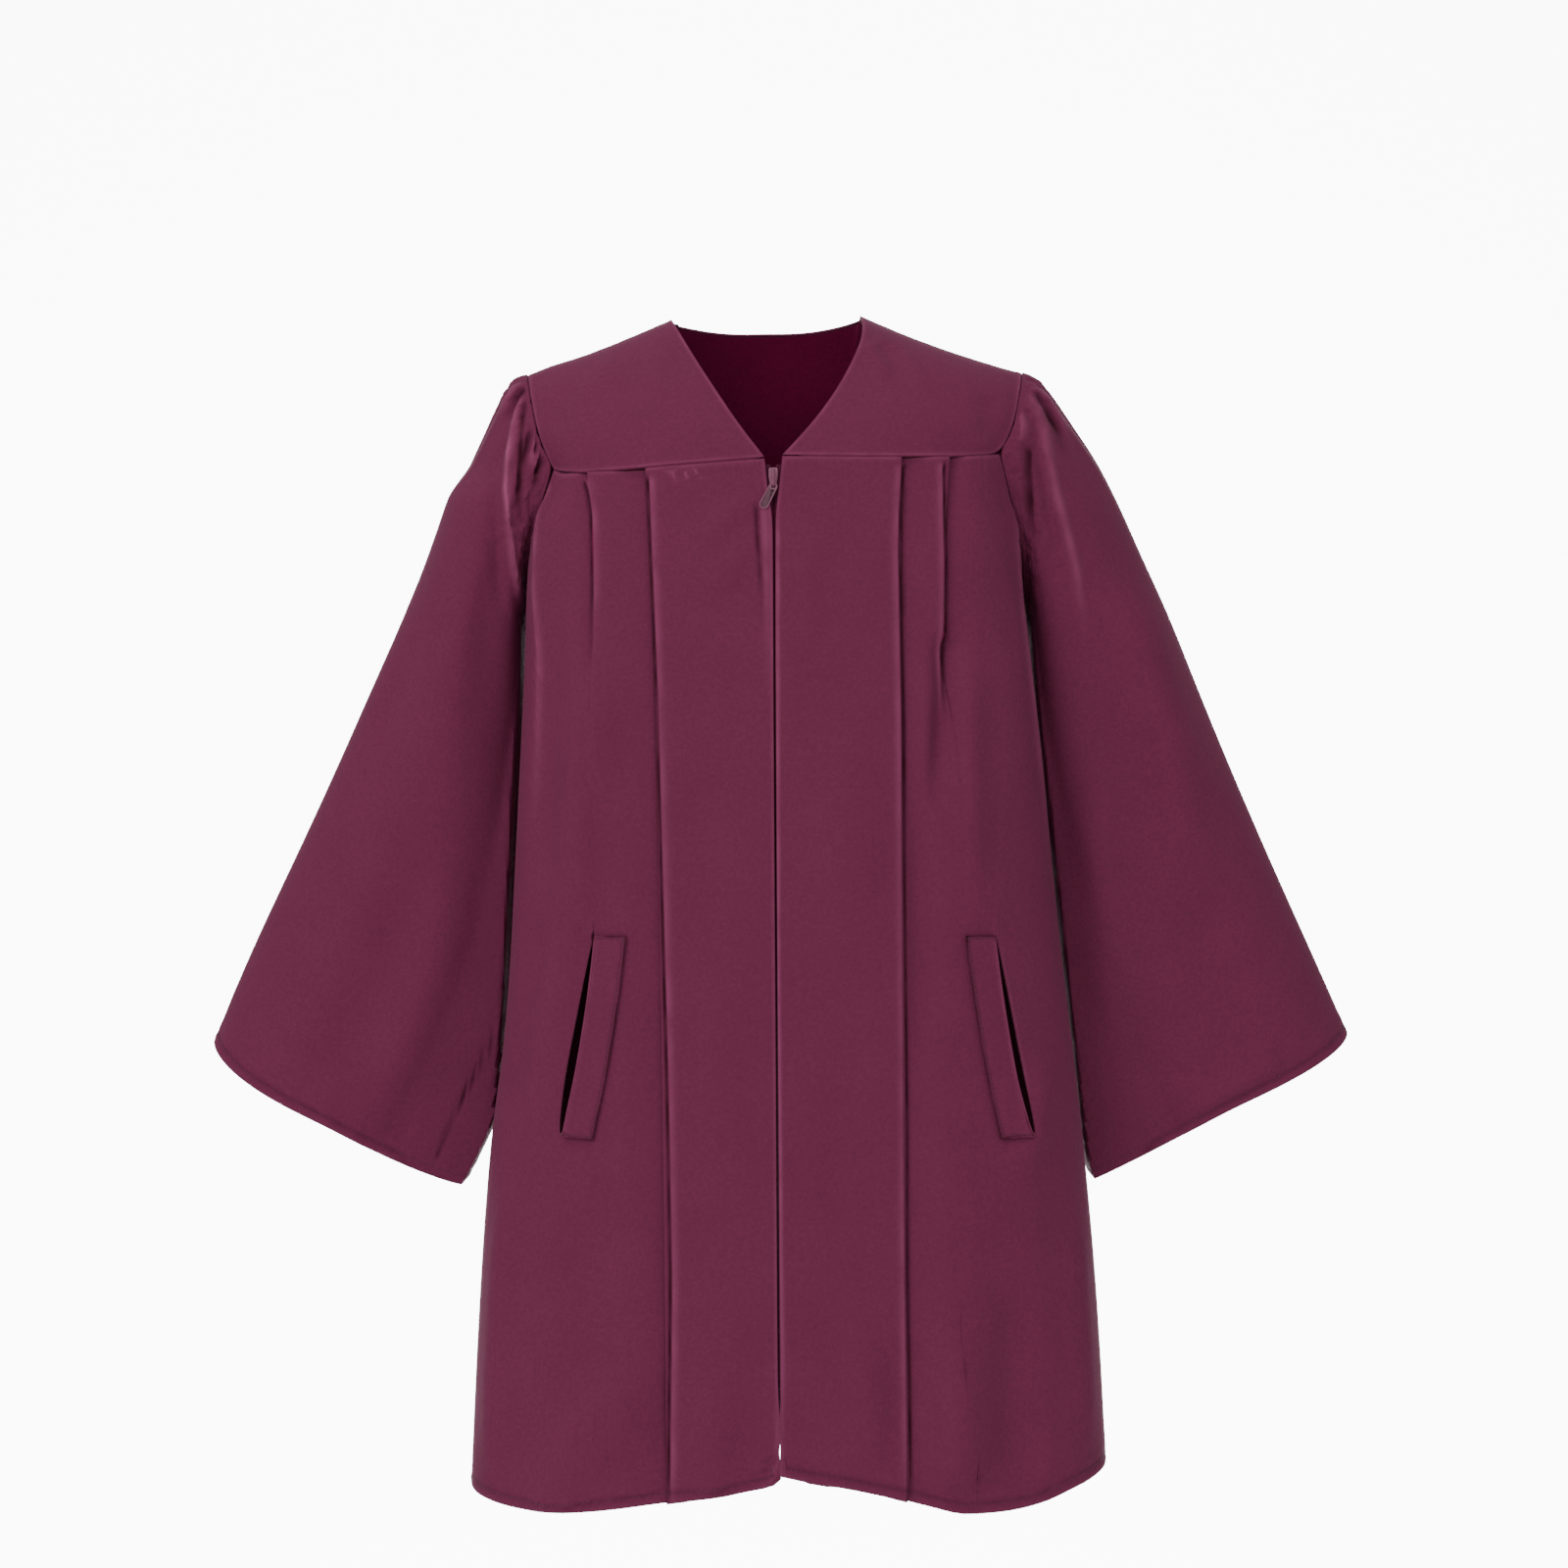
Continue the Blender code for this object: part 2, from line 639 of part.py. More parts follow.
# Sleeves. Each is a tube from the armhole to an open cuff. A row is a ring:
# its outer and inner points, its depth, and how far the cuff dips front and back.
SLEEVES = {
    "right": (
        ("share", "outer", "outer_drop", "inner", "inner_drop", "middle", "half", "dip"),
        (0.000, 0.1390, 0.0302, 0.1345, 0.1680, 0.0040, 0.053, 0.000),
        (0.017, 0.1439, 0.0310, 0.1360, 0.1720, 0.0050, 0.053, 0.000),
        (0.055, 0.1532, 0.0444, 0.1365, 0.1820, 0.0070, 0.053, 0.000),
        (0.103, 0.1616, 0.0620, 0.1362, 0.1960, 0.0090, 0.053, 0.000),
        (0.157, 0.1715, 0.0815, 0.1358, 0.2120, 0.0110, 0.053, 0.000),
        (0.228, 0.1826, 0.1084, 0.1356, 0.2330, 0.0130, 0.053, 0.001),
        (0.296, 0.1936, 0.1338, 0.1356, 0.2540, 0.0145, 0.053, 0.002),
        (0.384, 0.2091, 0.1663, 0.1365, 0.2810, 0.0160, 0.053, 0.003),
        (0.457, 0.2215, 0.1934, 0.1375, 0.3040, 0.0170, 0.053, 0.004),
        (0.616, 0.2477, 0.2528, 0.1400, 0.3540, 0.0185, 0.052, 0.006),
        (0.792, 0.2783, 0.3178, 0.1455, 0.4080, 0.0200, 0.051, 0.007),
        (0.945, 0.3049, 0.3743, 0.1600, 0.4540, 0.0200, 0.050, 0.008),
        (1.000, 0.3124, 0.3953, 0.1725, 0.4726, 0.0200, 0.050, 0.008),
    ),
    "left": (
        ("share", "outer", "outer_drop", "inner", "inner_drop", "middle", "half", "dip"),
        (0.000, 0.1345, 0.0290, 0.1320, 0.1680, 0.0040, 0.053, 0.000),
        (0.017, 0.1402, 0.0310, 0.1335, 0.1720, 0.0050, 0.053, 0.000),
        (0.055, 0.1506, 0.0430, 0.1345, 0.1820, 0.0070, 0.053, 0.000),
        (0.103, 0.1620, 0.0590, 0.1350, 0.1960, 0.0090, 0.053, 0.000),
        (0.157, 0.1750, 0.0767, 0.1355, 0.2120, 0.0110, 0.053, 0.000),
        (0.228, 0.1881, 0.1025, 0.1360, 0.2330, 0.0130, 0.053, 0.000),
        (0.296, 0.1996, 0.1278, 0.1370, 0.2540, 0.0145, 0.053, 0.000),
        (0.384, 0.2136, 0.1609, 0.1395, 0.2810, 0.0160, 0.053, 0.000),
        (0.457, 0.2253, 0.1884, 0.1425, 0.3040, 0.0170, 0.053, 0.001),
        (0.616, 0.2506, 0.2483, 0.1490, 0.3540, 0.0185, 0.052, 0.002),
        (0.792, 0.2795, 0.3143, 0.1560, 0.4080, 0.0200, 0.051, 0.002),
        (0.945, 0.3056, 0.3712, 0.1650, 0.4540, 0.0200, 0.050, 0.002),
        (1.000, 0.3145, 0.3915, 0.1719, 0.4699, 0.0200, 0.050, 0.002),
    ),
}

# Gathers at the sleeve cap: a row per fold. Turn is in degrees round from the
# shoulder tip, forward positive; reach is how far down the sleeve it fades.
GATHERS = (
    ("turn", "height", "reach"),
    (-69, 0.0016, 0.055),
    (-54, 0.0022, 0.075),
    (-38, 0.0018, 0.060),
    (-23, 0.0024, 0.095),
    (-8, 0.0018, 0.060),
    (8, 0.0020, 0.070),
    (23, 0.0026, 0.110),
    (38, 0.0018, 0.060),
    (53, 0.0024, 0.085),
    (68, 0.0018, 0.060),
)
GATHER_WIDTH = 4.6
SLEEVE_SHARES = (0.0, 0.02, 0.045, 0.075, 0.11, 0.155, 0.21, 0.28, 0.37, 0.48, 0.61, 0.74, 0.87, 1.0)
CAP_STEP = 3.8
CAP_COLUMNS = 20
UNDER_COLUMNS = 10
CLEAR = 0.0026
CUFF_SWELL = 0.0036


def armhole_loop(side):
    """The armhole, from the shoulder tip down the front and up the back."""
    points = [front_yoke_point(side, 1.0, k / 16) for k in range(17)]
    low = read(YOKE_SEAM, side, 1.0)
    for k in range(1, 25):
        drop = low + (UNDERARM - low) * math.sin(math.pi / 2 * k / 24)
        along = along_at_depth(side, drop, read(ARMHOLE, "front", drop))
        points.append(lay(side, drop, along))
    low = read(YOKE_SEAM, "back", 1.0)
    for k in range(23, -1, -1):
        drop = low + (UNDERARM - low) * math.sin(math.pi / 2 * k / 24)
        along = along_at_depth(side, drop, read(ARMHOLE, "back", drop))
        points.append(lay(side, drop, along))
    points += [back_yoke_point(side, 1.0, k / 16) for k in range(15, -1, -1)]
    points.append(points[0].copy())
    run = [0.0]
    for a, b in zip(points, points[1:]):
        run.append(run[-1] + (b - a).length)
    under = 40
    return points, run, run[under]


def on_loop(points, run, length):
    spot = max(i for i in range(len(run) - 1) if run[i] <= length + 1e-9)
    part = (length - run[spot]) / (run[spot + 1] - run[spot])
    return points[spot].lerp(points[spot + 1], min(1.0, part))


def ring_of_sleeve(side, share, turn):
    """A point of the sleeve's own ring and the way outward there."""
    table = SLEEVES[side]
    outer = Vector((read(table, "outer", share), read(table, "outer_drop", share)))
    inner = Vector((read(table, "inner", share), read(table, "inner_drop", share)))
    centre = (outer + inner) / 2
    reach = (outer - inner).length / 2
    up = (outer - inner).normalized()
    down = Vector((-up.y, up.x))
    angle = math.radians(turn)
    c, s = math.cos(angle), math.sin(angle)
    power = 2.0 / 2.2
    rise = math.copysign(abs(c) ** power, c)
    front = math.copysign(abs(s) ** power, s)
    fall = read(table, "dip", share) * abs(s) ** 1.5
    fall += CUFF_SWELL * smooth((share - 0.5) / 0.5) * 2 * abs(s) * max(c, 0.0)
    flat = centre + up * (reach * rise) + down * fall
    depth = read(table, "middle", share) - read(table, "half", share) * front
    sign = SIDES[side]
    way = Vector((sign * up.x * c, -s, -up.y * c)).normalized()
    return Vector((sign * flat.x, depth, -flat.y)), way


def across_at_depth(side, drop, depth):
    along = along_at_depth(side, drop, depth)
    return abs(lay(side, drop, along).x)


def sleeve_point(side, share, turn, loop):
    points, run, under = loop
    lean = abs(turn) / 180.0
    whole = run[-1]
    if turn >= 0:
        length = under * lean
    else:
        length = whole - (whole - under) * lean
    place, way = ring_of_sleeve(side, share, turn)
    first = ring_of_sleeve(side, 0.0, turn)[0]
    sign = SIDES[side]
    start = on_loop(points, run, length % whole)
    ease = smooth((lean - 0.36) / 0.5)
    start.x += sign * (0.0012 + 0.0013 * ease)
    stay = 1.0 - smooth(share / 0.24)
    place = place + (start - first) * stay
    distance = share * 0.41
    lift = 0.0
    for spot, height, reach in GATHERS[1:]:
        near = (turn - spot) / GATHER_WIDTH
        if abs(near) < 4:
            rise = smooth(distance / 0.012)
            fall = 1.0 - smooth((distance - 0.012) / (reach - 0.012))
            lift += height * math.exp(-near * near) * rise * fall
    place = place + way * lift
    drop = -place.z
    if share > 0.001 and drop > 0.088:
        if read(BODY, "front", drop) < place.y < read(BODY, "back", drop):
            least = across_at_depth(side, drop, place.y) + CLEAR
            short = least - abs(place.x)
            if short > -0.004:
                push = (short + 0.004) ** 2 / 0.016 if short < 0.004 else short
                place.x += sign * push
    return place


def sleeve_turns(share):
    """Columns are close together at the gathers and spread out below them."""
    close = [CAP_STEP * k for k in range(-CAP_COLUMNS, CAP_COLUMNS + 1)]
    left = 360.0 - 2 * CAP_STEP * CAP_COLUMNS
    close += [
        CAP_STEP * CAP_COLUMNS + left * (k + 1) / (UNDER_COLUMNS + 1)
        for k in range(UNDER_COLUMNS)
    ]
    count = len(close)
    even = [360.0 * (k - CAP_COLUMNS) / count for k in range(count)]
    mix = smooth((share - 0.15) / 0.6) * 0.85
    return [a * (1 - mix) + b * mix for a, b in zip(close, even)]


for side in SIDES:
    loop = armhole_loop(side)
    rows = []
    for share in SLEEVE_SHARES:
        row = []
        for turn in sleeve_turns(share):
            row.append(sleeve_point(side, share, (turn + 180.0) % 360.0 - 180.0, loop))
        rows.append(row)
    sleeve = shell("sleeve_" + side, rows, CLOTH, closed=True)
    sleeve.data.materials.append(PLUM)

# Pocket welts. Each lies on its front panel, from the slit toward the centre.
WELT_LIFT = CLOTH + LAYER_GAP
for side in SIDES:
    rows = []
    for k in range(8):
        drop = SLIT_TOP + (SLIT_END + 0.0005 - SLIT_TOP) * k / 7
        slit = along_at_across(side, drop, read(SLIT, side, drop))
        slit -= read(SLIT, "width", drop) / 2 + 0.0001
        row = []
        for part in (1.0, 0.66, 0.33, 0.0):
            low = drop + 0.0012 * part * (k / 7)
            row.append(lay(side, low, slit - WELT_WIDTH * part, WELT_LIFT))
        rows.append(row if side == "left" else row[::-1])
    welt = shell("pocket_welt_" + side, rows, CLOTH, flat=True)
    welt.data.materials.append(WELT)

# Zip tapes. They lie behind the front edges, from the V to above the hem, with
# the coil as a thicker inner edge, parted round the slider's neck.
TAPE = 0.0010
TAPE_LIFT = -(CLOTH / 2 + LAYER_GAP + TAPE / 2)
TAPES = (
    ("drop", "inner"),
    (0.0860, 0.0014),
    (0.0960, 0.0012),
    (0.0990, 0.0003),
    (0.5960, 0.0003),
)
for side in SIDES:
    rows = []
    for drop in (0.086, 0.0925, 0.096, 0.099, 0.106, 0.15, 0.22, 0.30, 0.38, 0.46, 0.53, 0.596):
        inner = read(TAPES, "inner", drop)
        row = [lay(side, drop, s, TAPE_LIFT) for s in (inner, 0.0055, 0.0110)]
        rows.append(row if side == "left" else row[::-1])
    tape = shell("zip_tape_" + side, rows, TAPE, flat=True)
    tape.data.materials.append(TAPE_CLOTH)

# Zip slider. Its front and back plates hold the tapes, joined by a neck, and a
# bridge on its face carries the pull tab. The tab leans to the wearer's right.
SLIDER_DROP = 0.0932
SLIDER_X = -0.0030
FACE_HIGH = lay("left", SLIDER_DROP - 0.005, 0.0)
FACE_LOW = lay("left", SLIDER_DROP + 0.005, 0.0)
UP = Vector((0.0, FACE_HIGH.y - FACE_LOW.y, FACE_HIGH.z - FACE_LOW.z)).normalized()
OUT = Vector((0.0, -UP.z, UP.y))
SLIDER_AT = lay("left", SLIDER_DROP, 0.0)
SLIDER_AT.x = SLIDER_X


def place(x, up, out):
    return SLIDER_AT + Vector((x, 0.0, 0.0)) + UP * up + OUT * out


def slab(name, outline, low, high):
    """An outline of (x, up) pairs given thickness outward."""
    count = len(outline)
    points = [place(x, up, low) for x, up in outline]
    points += [place(x, up, high) for x, up in outline]
    faces = [tuple(range(count)), tuple(range(count, 2 * count))]
    faces += [(k, (k + 1) % count, count + (k + 1) % count, count + k) for k in range(count)]
    return make(name, points, faces)


def joined(name, base, others, operation):
    for other in others:
        step = base.modifiers.new("join", "BOOLEAN")
        step.operation = operation
        step.solver = "EXACT"
        step.object = other
    graph = bpy.context.evaluated_depsgraph_get()
    mesh = bpy.data.meshes.new_from_object(base.evaluated_get(graph))
    base.modifiers.clear()
    base.data = mesh
    base.name = name
    for other in others:
        bpy.data.objects.remove(other)
    return base


def arc(x, y, radius, first, last, steps):
    turns = [math.radians(first + (last - first) * k / steps) for k in range(steps + 1)]
    return [(x + radius * math.cos(a), y + radius * math.sin(a)) for a in turns]


plate = [
    (-0.0019, 0.0055), (-0.0025, 0.0046), (-0.0025, 0.0008), (-0.0019, -0.0030),
    (-0.0019, -0.0052), (-0.0013, -0.0059), (0.0013, -0.0059), (0.0019, -0.0052),
    (0.0019, -0.0030), (0.0025, 0.0008), (0.0025, 0.0046), (0.0019, 0.0055),
]
neck = [(-0.0008, 0.0010), (0.0008, 0.0010), (0.0008, 0.0048), (-0.0008, 0.0048)]
slider = slab("front_plate", plate, -0.0008, 0.0)
back_plate = slab("back_plate", plate, -0.0033, -0.0024)
neck = slab("neck", neck, -0.0028, -0.0004)
PIVOT_UP, PIVOT_OUT, BEND, ROD = -0.0038, 0.00145, 0.0012, 0.00045
loop = [(0.0048, -0.0003), (0.0048, 0.0019)]
loop += arc(0.0036, 0.0019, 0.0012, 0, 90, 3)
loop += arc(PIVOT_UP, PIVOT_OUT, BEND + ROD, 90, 180, 4)
loop.append((PIVOT_UP - BEND - ROD, -0.0003))
loop.append((PIVOT_UP - BEND + ROD, -0.0003))
loop += arc(PIVOT_UP, PIVOT_OUT, BEND - ROD, 180, 90, 4)
loop += arc(0.0034, 0.0017, 0.0005, 90, 0, 2)
loop.append((0.0039, -0.0003))
count = len(loop)
points = [place(-ROD, up, out) for up, out in loop]
points += [place(ROD, up, out) for up, out in loop]
faces = [tuple(range(count)), tuple(range(count, 2 * count))]
faces += [(k, (k + 1) % count, count + (k + 1) % count, count + k) for k in range(count)]
bridge = make("bridge", points, faces)
slider = joined("zip_slider", slider, [neck, back_plate, bridge], "UNION")
slider.data.materials.append(METAL)

# Pull tab. Its round head hangs in the bridge's lower bend.
EYE_UP = PIVOT_UP - BEND
LEAN = math.radians(27)
TAB = 0.0009
outline = arc(0.0, 0.0, 0.0023, 0, 180, 10)
outline += [(-0.0024, -0.0030), (-0.0026, -0.0100)]
outline += arc(0.0, -0.0108, 0.0026, 190, 350, 6)
outline += [(0.0026, -0.0100), (0.0024, -0.0030)]
c, s = math.cos(LEAN), math.sin(LEAN)
turned = [(x * c + y * s, EYE_UP - x * s + y * c) for x, y in outline]
eye = arc(0.0, EYE_UP, 0.0012, 0, 330, 11)
tab = slab("tab", turned, PIVOT_OUT - TAB / 2, PIVOT_OUT + TAB / 2)
hole = slab("hole", eye, PIVOT_OUT - TAB, PIVOT_OUT + TAB)
tab = joined("zip_pull", tab, [hole], "DIFFERENCE")
tab.data.materials.append(METAL)
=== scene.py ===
"""A child's graduation gown in plum polyester, zipped in front and filled out as when worn."""

import math

import bmesh
import bpy
from mathutils import Matrix, Vector, noise
from mathutils.bvhtree import BVHTree
from mathutils.kdtree import KDTree

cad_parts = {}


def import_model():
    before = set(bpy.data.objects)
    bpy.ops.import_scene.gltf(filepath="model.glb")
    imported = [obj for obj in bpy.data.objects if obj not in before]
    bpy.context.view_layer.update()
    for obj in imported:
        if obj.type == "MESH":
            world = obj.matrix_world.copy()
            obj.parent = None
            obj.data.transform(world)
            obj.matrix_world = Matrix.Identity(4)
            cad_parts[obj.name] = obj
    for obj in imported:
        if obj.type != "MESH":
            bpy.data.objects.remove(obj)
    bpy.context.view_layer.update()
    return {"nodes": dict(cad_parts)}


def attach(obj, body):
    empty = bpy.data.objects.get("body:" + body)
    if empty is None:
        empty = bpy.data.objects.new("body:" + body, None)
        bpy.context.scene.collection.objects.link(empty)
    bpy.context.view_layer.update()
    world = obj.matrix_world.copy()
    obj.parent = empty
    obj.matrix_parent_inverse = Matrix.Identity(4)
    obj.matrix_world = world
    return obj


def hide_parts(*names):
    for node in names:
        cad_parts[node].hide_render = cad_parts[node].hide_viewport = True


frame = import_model()

# Camera. A long lens on the gown's middle, level with the chest, in a square picture.
# The gown fills the lower four fifths of the picture and the background stays plain.
EYE = (0.0027, -2.04, -0.255)
LENS = 85

lens = bpy.data.cameras.new("camera")
lens.lens = LENS
lens.sensor_width = 36
camera = bpy.data.objects.new("camera", lens)
camera.location = EYE
camera.rotation_euler = (math.radians(90), 0, 0)
bpy.context.scene.collection.objects.link(camera)
bpy.context.scene.camera = camera

# Front panels. Plain woven polyester, each cut in one piece from yoke to hem, with one long
# and one short knife pleat laid towards the side seam and pressed at the yoke.
CLOTH = 0.0009
HEM_LINE = 0.0050
PLUM = (0.122, 0.0172, 0.050, 1)
# The inside is the same cloth: its plum is painted shade, and it turns to a darker painted shade
# towards the hem.
PLUM_INSIDE_PAINTED_SHADE = (0.165, 0.0030, 0.046, 1)
PLUM_PAINTED_DEEP_SHADE = (0.030, 0.0008, 0.0080, 1)
# Painted highlight and painted shade, mixed into the cloth along crests, edges, grooves and seams
# where light catches and shade falls.
PAINTED_HIGHLIGHT_PLUM = (0.300, 0.068, 0.150, 1)
PAINTED_SHADE_PLUM = (0.030, 0.0010, 0.0085, 1)
THREAD_PITCH = 0.00042
INSIDE_SHADE_TOP, INSIDE_SHADE_FOOT = -0.16, -0.26
BODY_HALF_WIDTH, BODY_HALF_DEPTH = 0.162, 0.110
CREASE_REACH = 2.6
FINE_FOLD = 0.0034
# How much painted highlight a fine fold's crest gets, and how much painted shade a fine groove
# gets.
CREST_PAINTED_HIGHLIGHT, GROOVE_PAINTED_SHADE = 0.30, 0.80
SEAM_CLEAR = 0.003
# The three steps by which a cut edge turns in: out past it, down from it, and its tone of painted
# shade.
EDGE_TURN = ((0.0004, 0.0004, -0.25), (0.0007, 0.0012, -0.9), (0.0010, 0.0026, -1.0))


def new_material(name, roughness):
    """A material with its node tree and its shader."""
    material = bpy.data.materials.new(name)
    material.use_nodes = True
    shader = material.node_tree.nodes["Principled BSDF"]
    shader.inputs["Roughness"].default_value = roughness
    return material, material.node_tree, shader


def object_noise(tree, scale, detail):
    """Fine unevenness that stays where it is on the piece."""
    place = tree.nodes.new("ShaderNodeTexCoord")
    grain = tree.nodes.new("ShaderNodeTexNoise")
    grain.inputs["Scale"].default_value = scale
    grain.inputs["Detail"].default_value = detail
    tree.links.new(place.outputs["Object"], grain.inputs["Vector"])
    return grain.outputs["Fac"]


def dye_mix(tree, share, low, high):
    """A colour that runs from one dye to another. Low may be another node's colour."""
    mix = tree.nodes.new("ShaderNodeMix")
    mix.data_type = "RGBA"
    mix.inputs["B"].default_value = high
    if isinstance(low, bpy.types.NodeSocket):
        tree.links.new(low, mix.inputs["A"])
    else:
        mix.inputs["A"].default_value = low
    tree.links.new(share, mix.inputs["Factor"])
    return mix.outputs["Result"]


def relief(tree, height, strength, distance):
    """A shallow bump from a height."""
    bump = tree.nodes.new("ShaderNodeBump")
    bump.inputs["Strength"].default_value = strength
    bump.inputs["Distance"].default_value = distance
    tree.links.new(height, bump.inputs["Height"])
    return bump


def cloth_material(name, colour):
    """Matt plain weave with painted highlight and painted shade from a point layer. u and v of its
    UV map are metres along the two threads.
    """
    material, tree, shader = new_material(name, 0.85)
    shader.inputs["Specular IOR Level"].default_value = 0.12
    shader.inputs["Sheen Weight"].default_value = 0.05
    shader.inputs["Sheen Roughness"].default_value = 0.35
    shader.inputs["Sheen Tint"].default_value = (0.85, 0.42, 0.62, 1)
    place = tree.nodes.new("ShaderNodeTexCoord")
    weave = tree.nodes.new("ShaderNodeMath")
    weave.operation = "MULTIPLY"
    for k, axis in enumerate("XY"):
        wave = tree.nodes.new("ShaderNodeTexWave")
        wave.bands_direction = axis
        wave.wave_profile = "SIN"
        wave.inputs["Scale"].default_value = math.pi / (THREAD_PITCH * 10)
        wave.inputs["Distortion"].default_value = 0.5
        wave.inputs["Detail"].default_value = 1.0
        tree.links.new(place.outputs["UV"], wave.inputs["Vector"])
        tree.links.new(wave.outputs["Fac"], weave.inputs[k])
    slub = object_noise(tree, 520, 3)
    pale = [c * 0.93 for c in colour[:3]] + [1]
    strong = [c * 1.09 for c in colour[:3]] + [1]
    grain = tree.nodes.new("ShaderNodeMix")
    grain.data_type = "RGBA"
    grain.blend_type = "OVERLAY"
    grain.inputs["Factor"].default_value = 0.20
    tree.links.new(dye_mix(tree, object_noise(tree, 30, 5), pale, strong), grain.inputs["A"])
    tree.links.new(slub, grain.inputs["B"])
    # The point layer mixes in painted highlight above 0 and painted shade below 0.
    painted_light_and_shade = tree.nodes.new("ShaderNodeAttribute")
    painted_light_and_shade.attribute_name = "painted_light_and_shade"
    dyed = grain.outputs["Result"]
    for way, dye in ((1, PAINTED_HIGHLIGHT_PLUM), (-1, PAINTED_SHADE_PLUM)):
        much = tree.nodes.new("ShaderNodeMath")
        much.operation = "MULTIPLY"
        much.use_clamp = True
        much.inputs[1].default_value = way
        tree.links.new(painted_light_and_shade.outputs["Fac"], much.inputs[0])
        dyed = dye_mix(tree, much.outputs["Value"], dyed, dye)
    tree.links.new(dyed, shader.inputs["Base Color"])
    threads = relief(tree, weave.outputs["Value"], 0.16, 0.00012)
    rough = relief(tree, slub, 0.22, 0.0004)
    tree.links.new(threads.outputs["Normal"], rough.inputs["Normal"])
    tree.links.new(rough.outputs["Normal"], shader.inputs["Normal"])
    return material


gown_cloth = cloth_material("gown_cloth", PLUM)
# The inside faces' material: painted shade, darkening further from the yoke down towards the hem.
gown_inside_painted_shade = cloth_material("gown_inside_painted_shade", PLUM_INSIDE_PAINTED_SHADE)
tree = gown_inside_painted_shade.node_tree
dyed = tree.nodes["Principled BSDF"].inputs["Base Color"]
height = tree.nodes.new("ShaderNodeSeparateXYZ")
tree.links.new(tree.nodes["Texture Coordinate"].outputs["Object"], height.inputs["Vector"])
deep = tree.nodes.new("ShaderNodeMapRange")
deep.inputs["From Min"].default_value = INSIDE_SHADE_TOP
deep.inputs["From Max"].default_value = INSIDE_SHADE_FOOT
tree.links.new(height.outputs["Z"], deep.inputs["Value"])
shaded = dye_mix(tree, deep.outputs["Result"], dyed.links[0].from_socket, PLUM_PAINTED_DEEP_SHADE)
tree.links.new(shaded, dyed)


def as_piece(made, name, *materials):
    """Puts a finished mesh in the picture as one smooth object."""
    mesh = bpy.data.meshes.new(name)
    made.to_mesh(mesh)
    made.free()
    mesh.shade_smooth()
    for material in materials:
        mesh.materials.append(material)
    piece = bpy.data.objects.new(name, mesh)
    bpy.context.scene.collection.objects.link(piece)
    return piece


def outer_skin(node, rounds=2):
    """The outside face of a cloth node, rounded, as a bmesh with no thickness."""
    made = bmesh.new()
    made.from_mesh(frame["nodes"][node].data)
    bmesh.ops.remove_doubles(made, verts=made.verts, dist=0.00001)
    bmesh.ops.join_triangles(
        made,
        faces=made.faces[:],
        angle_face_threshold=math.radians(40),
        angle_shape_threshold=math.radians(180),
    )
    skins = []
    seen = set()
    for face in made.faces:
        if face in seen:
            continue
        seen.add(face)
        waiting = [face]
        skin = []
        while waiting:
            here = waiting.pop()
            skin.append(here)
            for edge in here.edges:
                if edge.calc_face_angle(0) > math.radians(72):
                    continue
                for other in edge.link_faces:
                    if other not in seen:
                        seen.add(other)
                        waiting.append(other)
        skins.append(skin)
    skins.sort(key=lambda skin: sum(face.calc_area() for face in skin))
    keep = set(skins[-1])
    bmesh.ops.delete(made, geom=[f for f in made.faces if f not in keep], context="FACES")
    skin = as_piece(made, node + "_skin")
    coarse = skin.data
    rounding = skin.modifiers.new("rounding", "SUBSURF")
    rounding.levels = rounding.render_levels = rounds
    rounding.boundary_smooth = "PRESERVE_CORNERS"
    graph = bpy.context.evaluated_depsgraph_get()
    rounded = bpy.data.meshes.new_from_object(skin.evaluated_get(graph))
    bpy.data.objects.remove(skin)
    made = bmesh.new()
    made.from_mesh(rounded)
    # A point layer for painted highlight and painted shade, filled by later steps.
    made.verts.layers.float.new("painted_light_and_shade")
    bpy.data.meshes.remove(rounded)
    bpy.data.meshes.remove(coarse)
    return made


def rim(made, test=lambda place: True):
    """The cloth's cut edges whose two ends both pass the test, or all of them."""
    return [
        edge for edge in made.edges
        if edge.is_boundary and all(test(end.co) for end in edge.verts)
    ]


def far_from(edges):
    """Measures how far a place is from a run of cut edges."""
    tree = KDTree(len(edges) * 8)
    for k, edge in enumerate(edges):
        a, b = edge.verts[0].co, edge.verts[1].co
        for j in range(8):
            tree.insert(a.lerp(b, j / 8), k * 8 + j)
    tree.balance()
    return lambda place: tree.find(place)[2]


def finer_rim(made, edges, cuts):
    """More rows of faces along a cut edge, for its stitched groove and puckers."""
    ends = {end for edge in edges for end in edge.verts}
    across = {
        edge for end in ends for edge in end.link_edges
        if not edge.is_boundary and sum(v in ends for v in edge.verts) == 1
    }
    bmesh.ops.subdivide_edges(made, edges=list(across), cuts=cuts, use_grid_fill=True)


def body_away(place):
    """Level and outward from the middle of the body."""
    way = Vector((place.x / BODY_HALF_WIDTH**2, (place.y + 0.004) / BODY_HALF_DEPTH**2, 0))
    return way.normalized()


def kept_in(share):
    """Held between 0 and 1."""
    return min(1.0, max(0.0, share))


def eased(share):
    """From 0 to 1 with a soft start and a soft end."""
    return share * share * (3 - 2 * share)


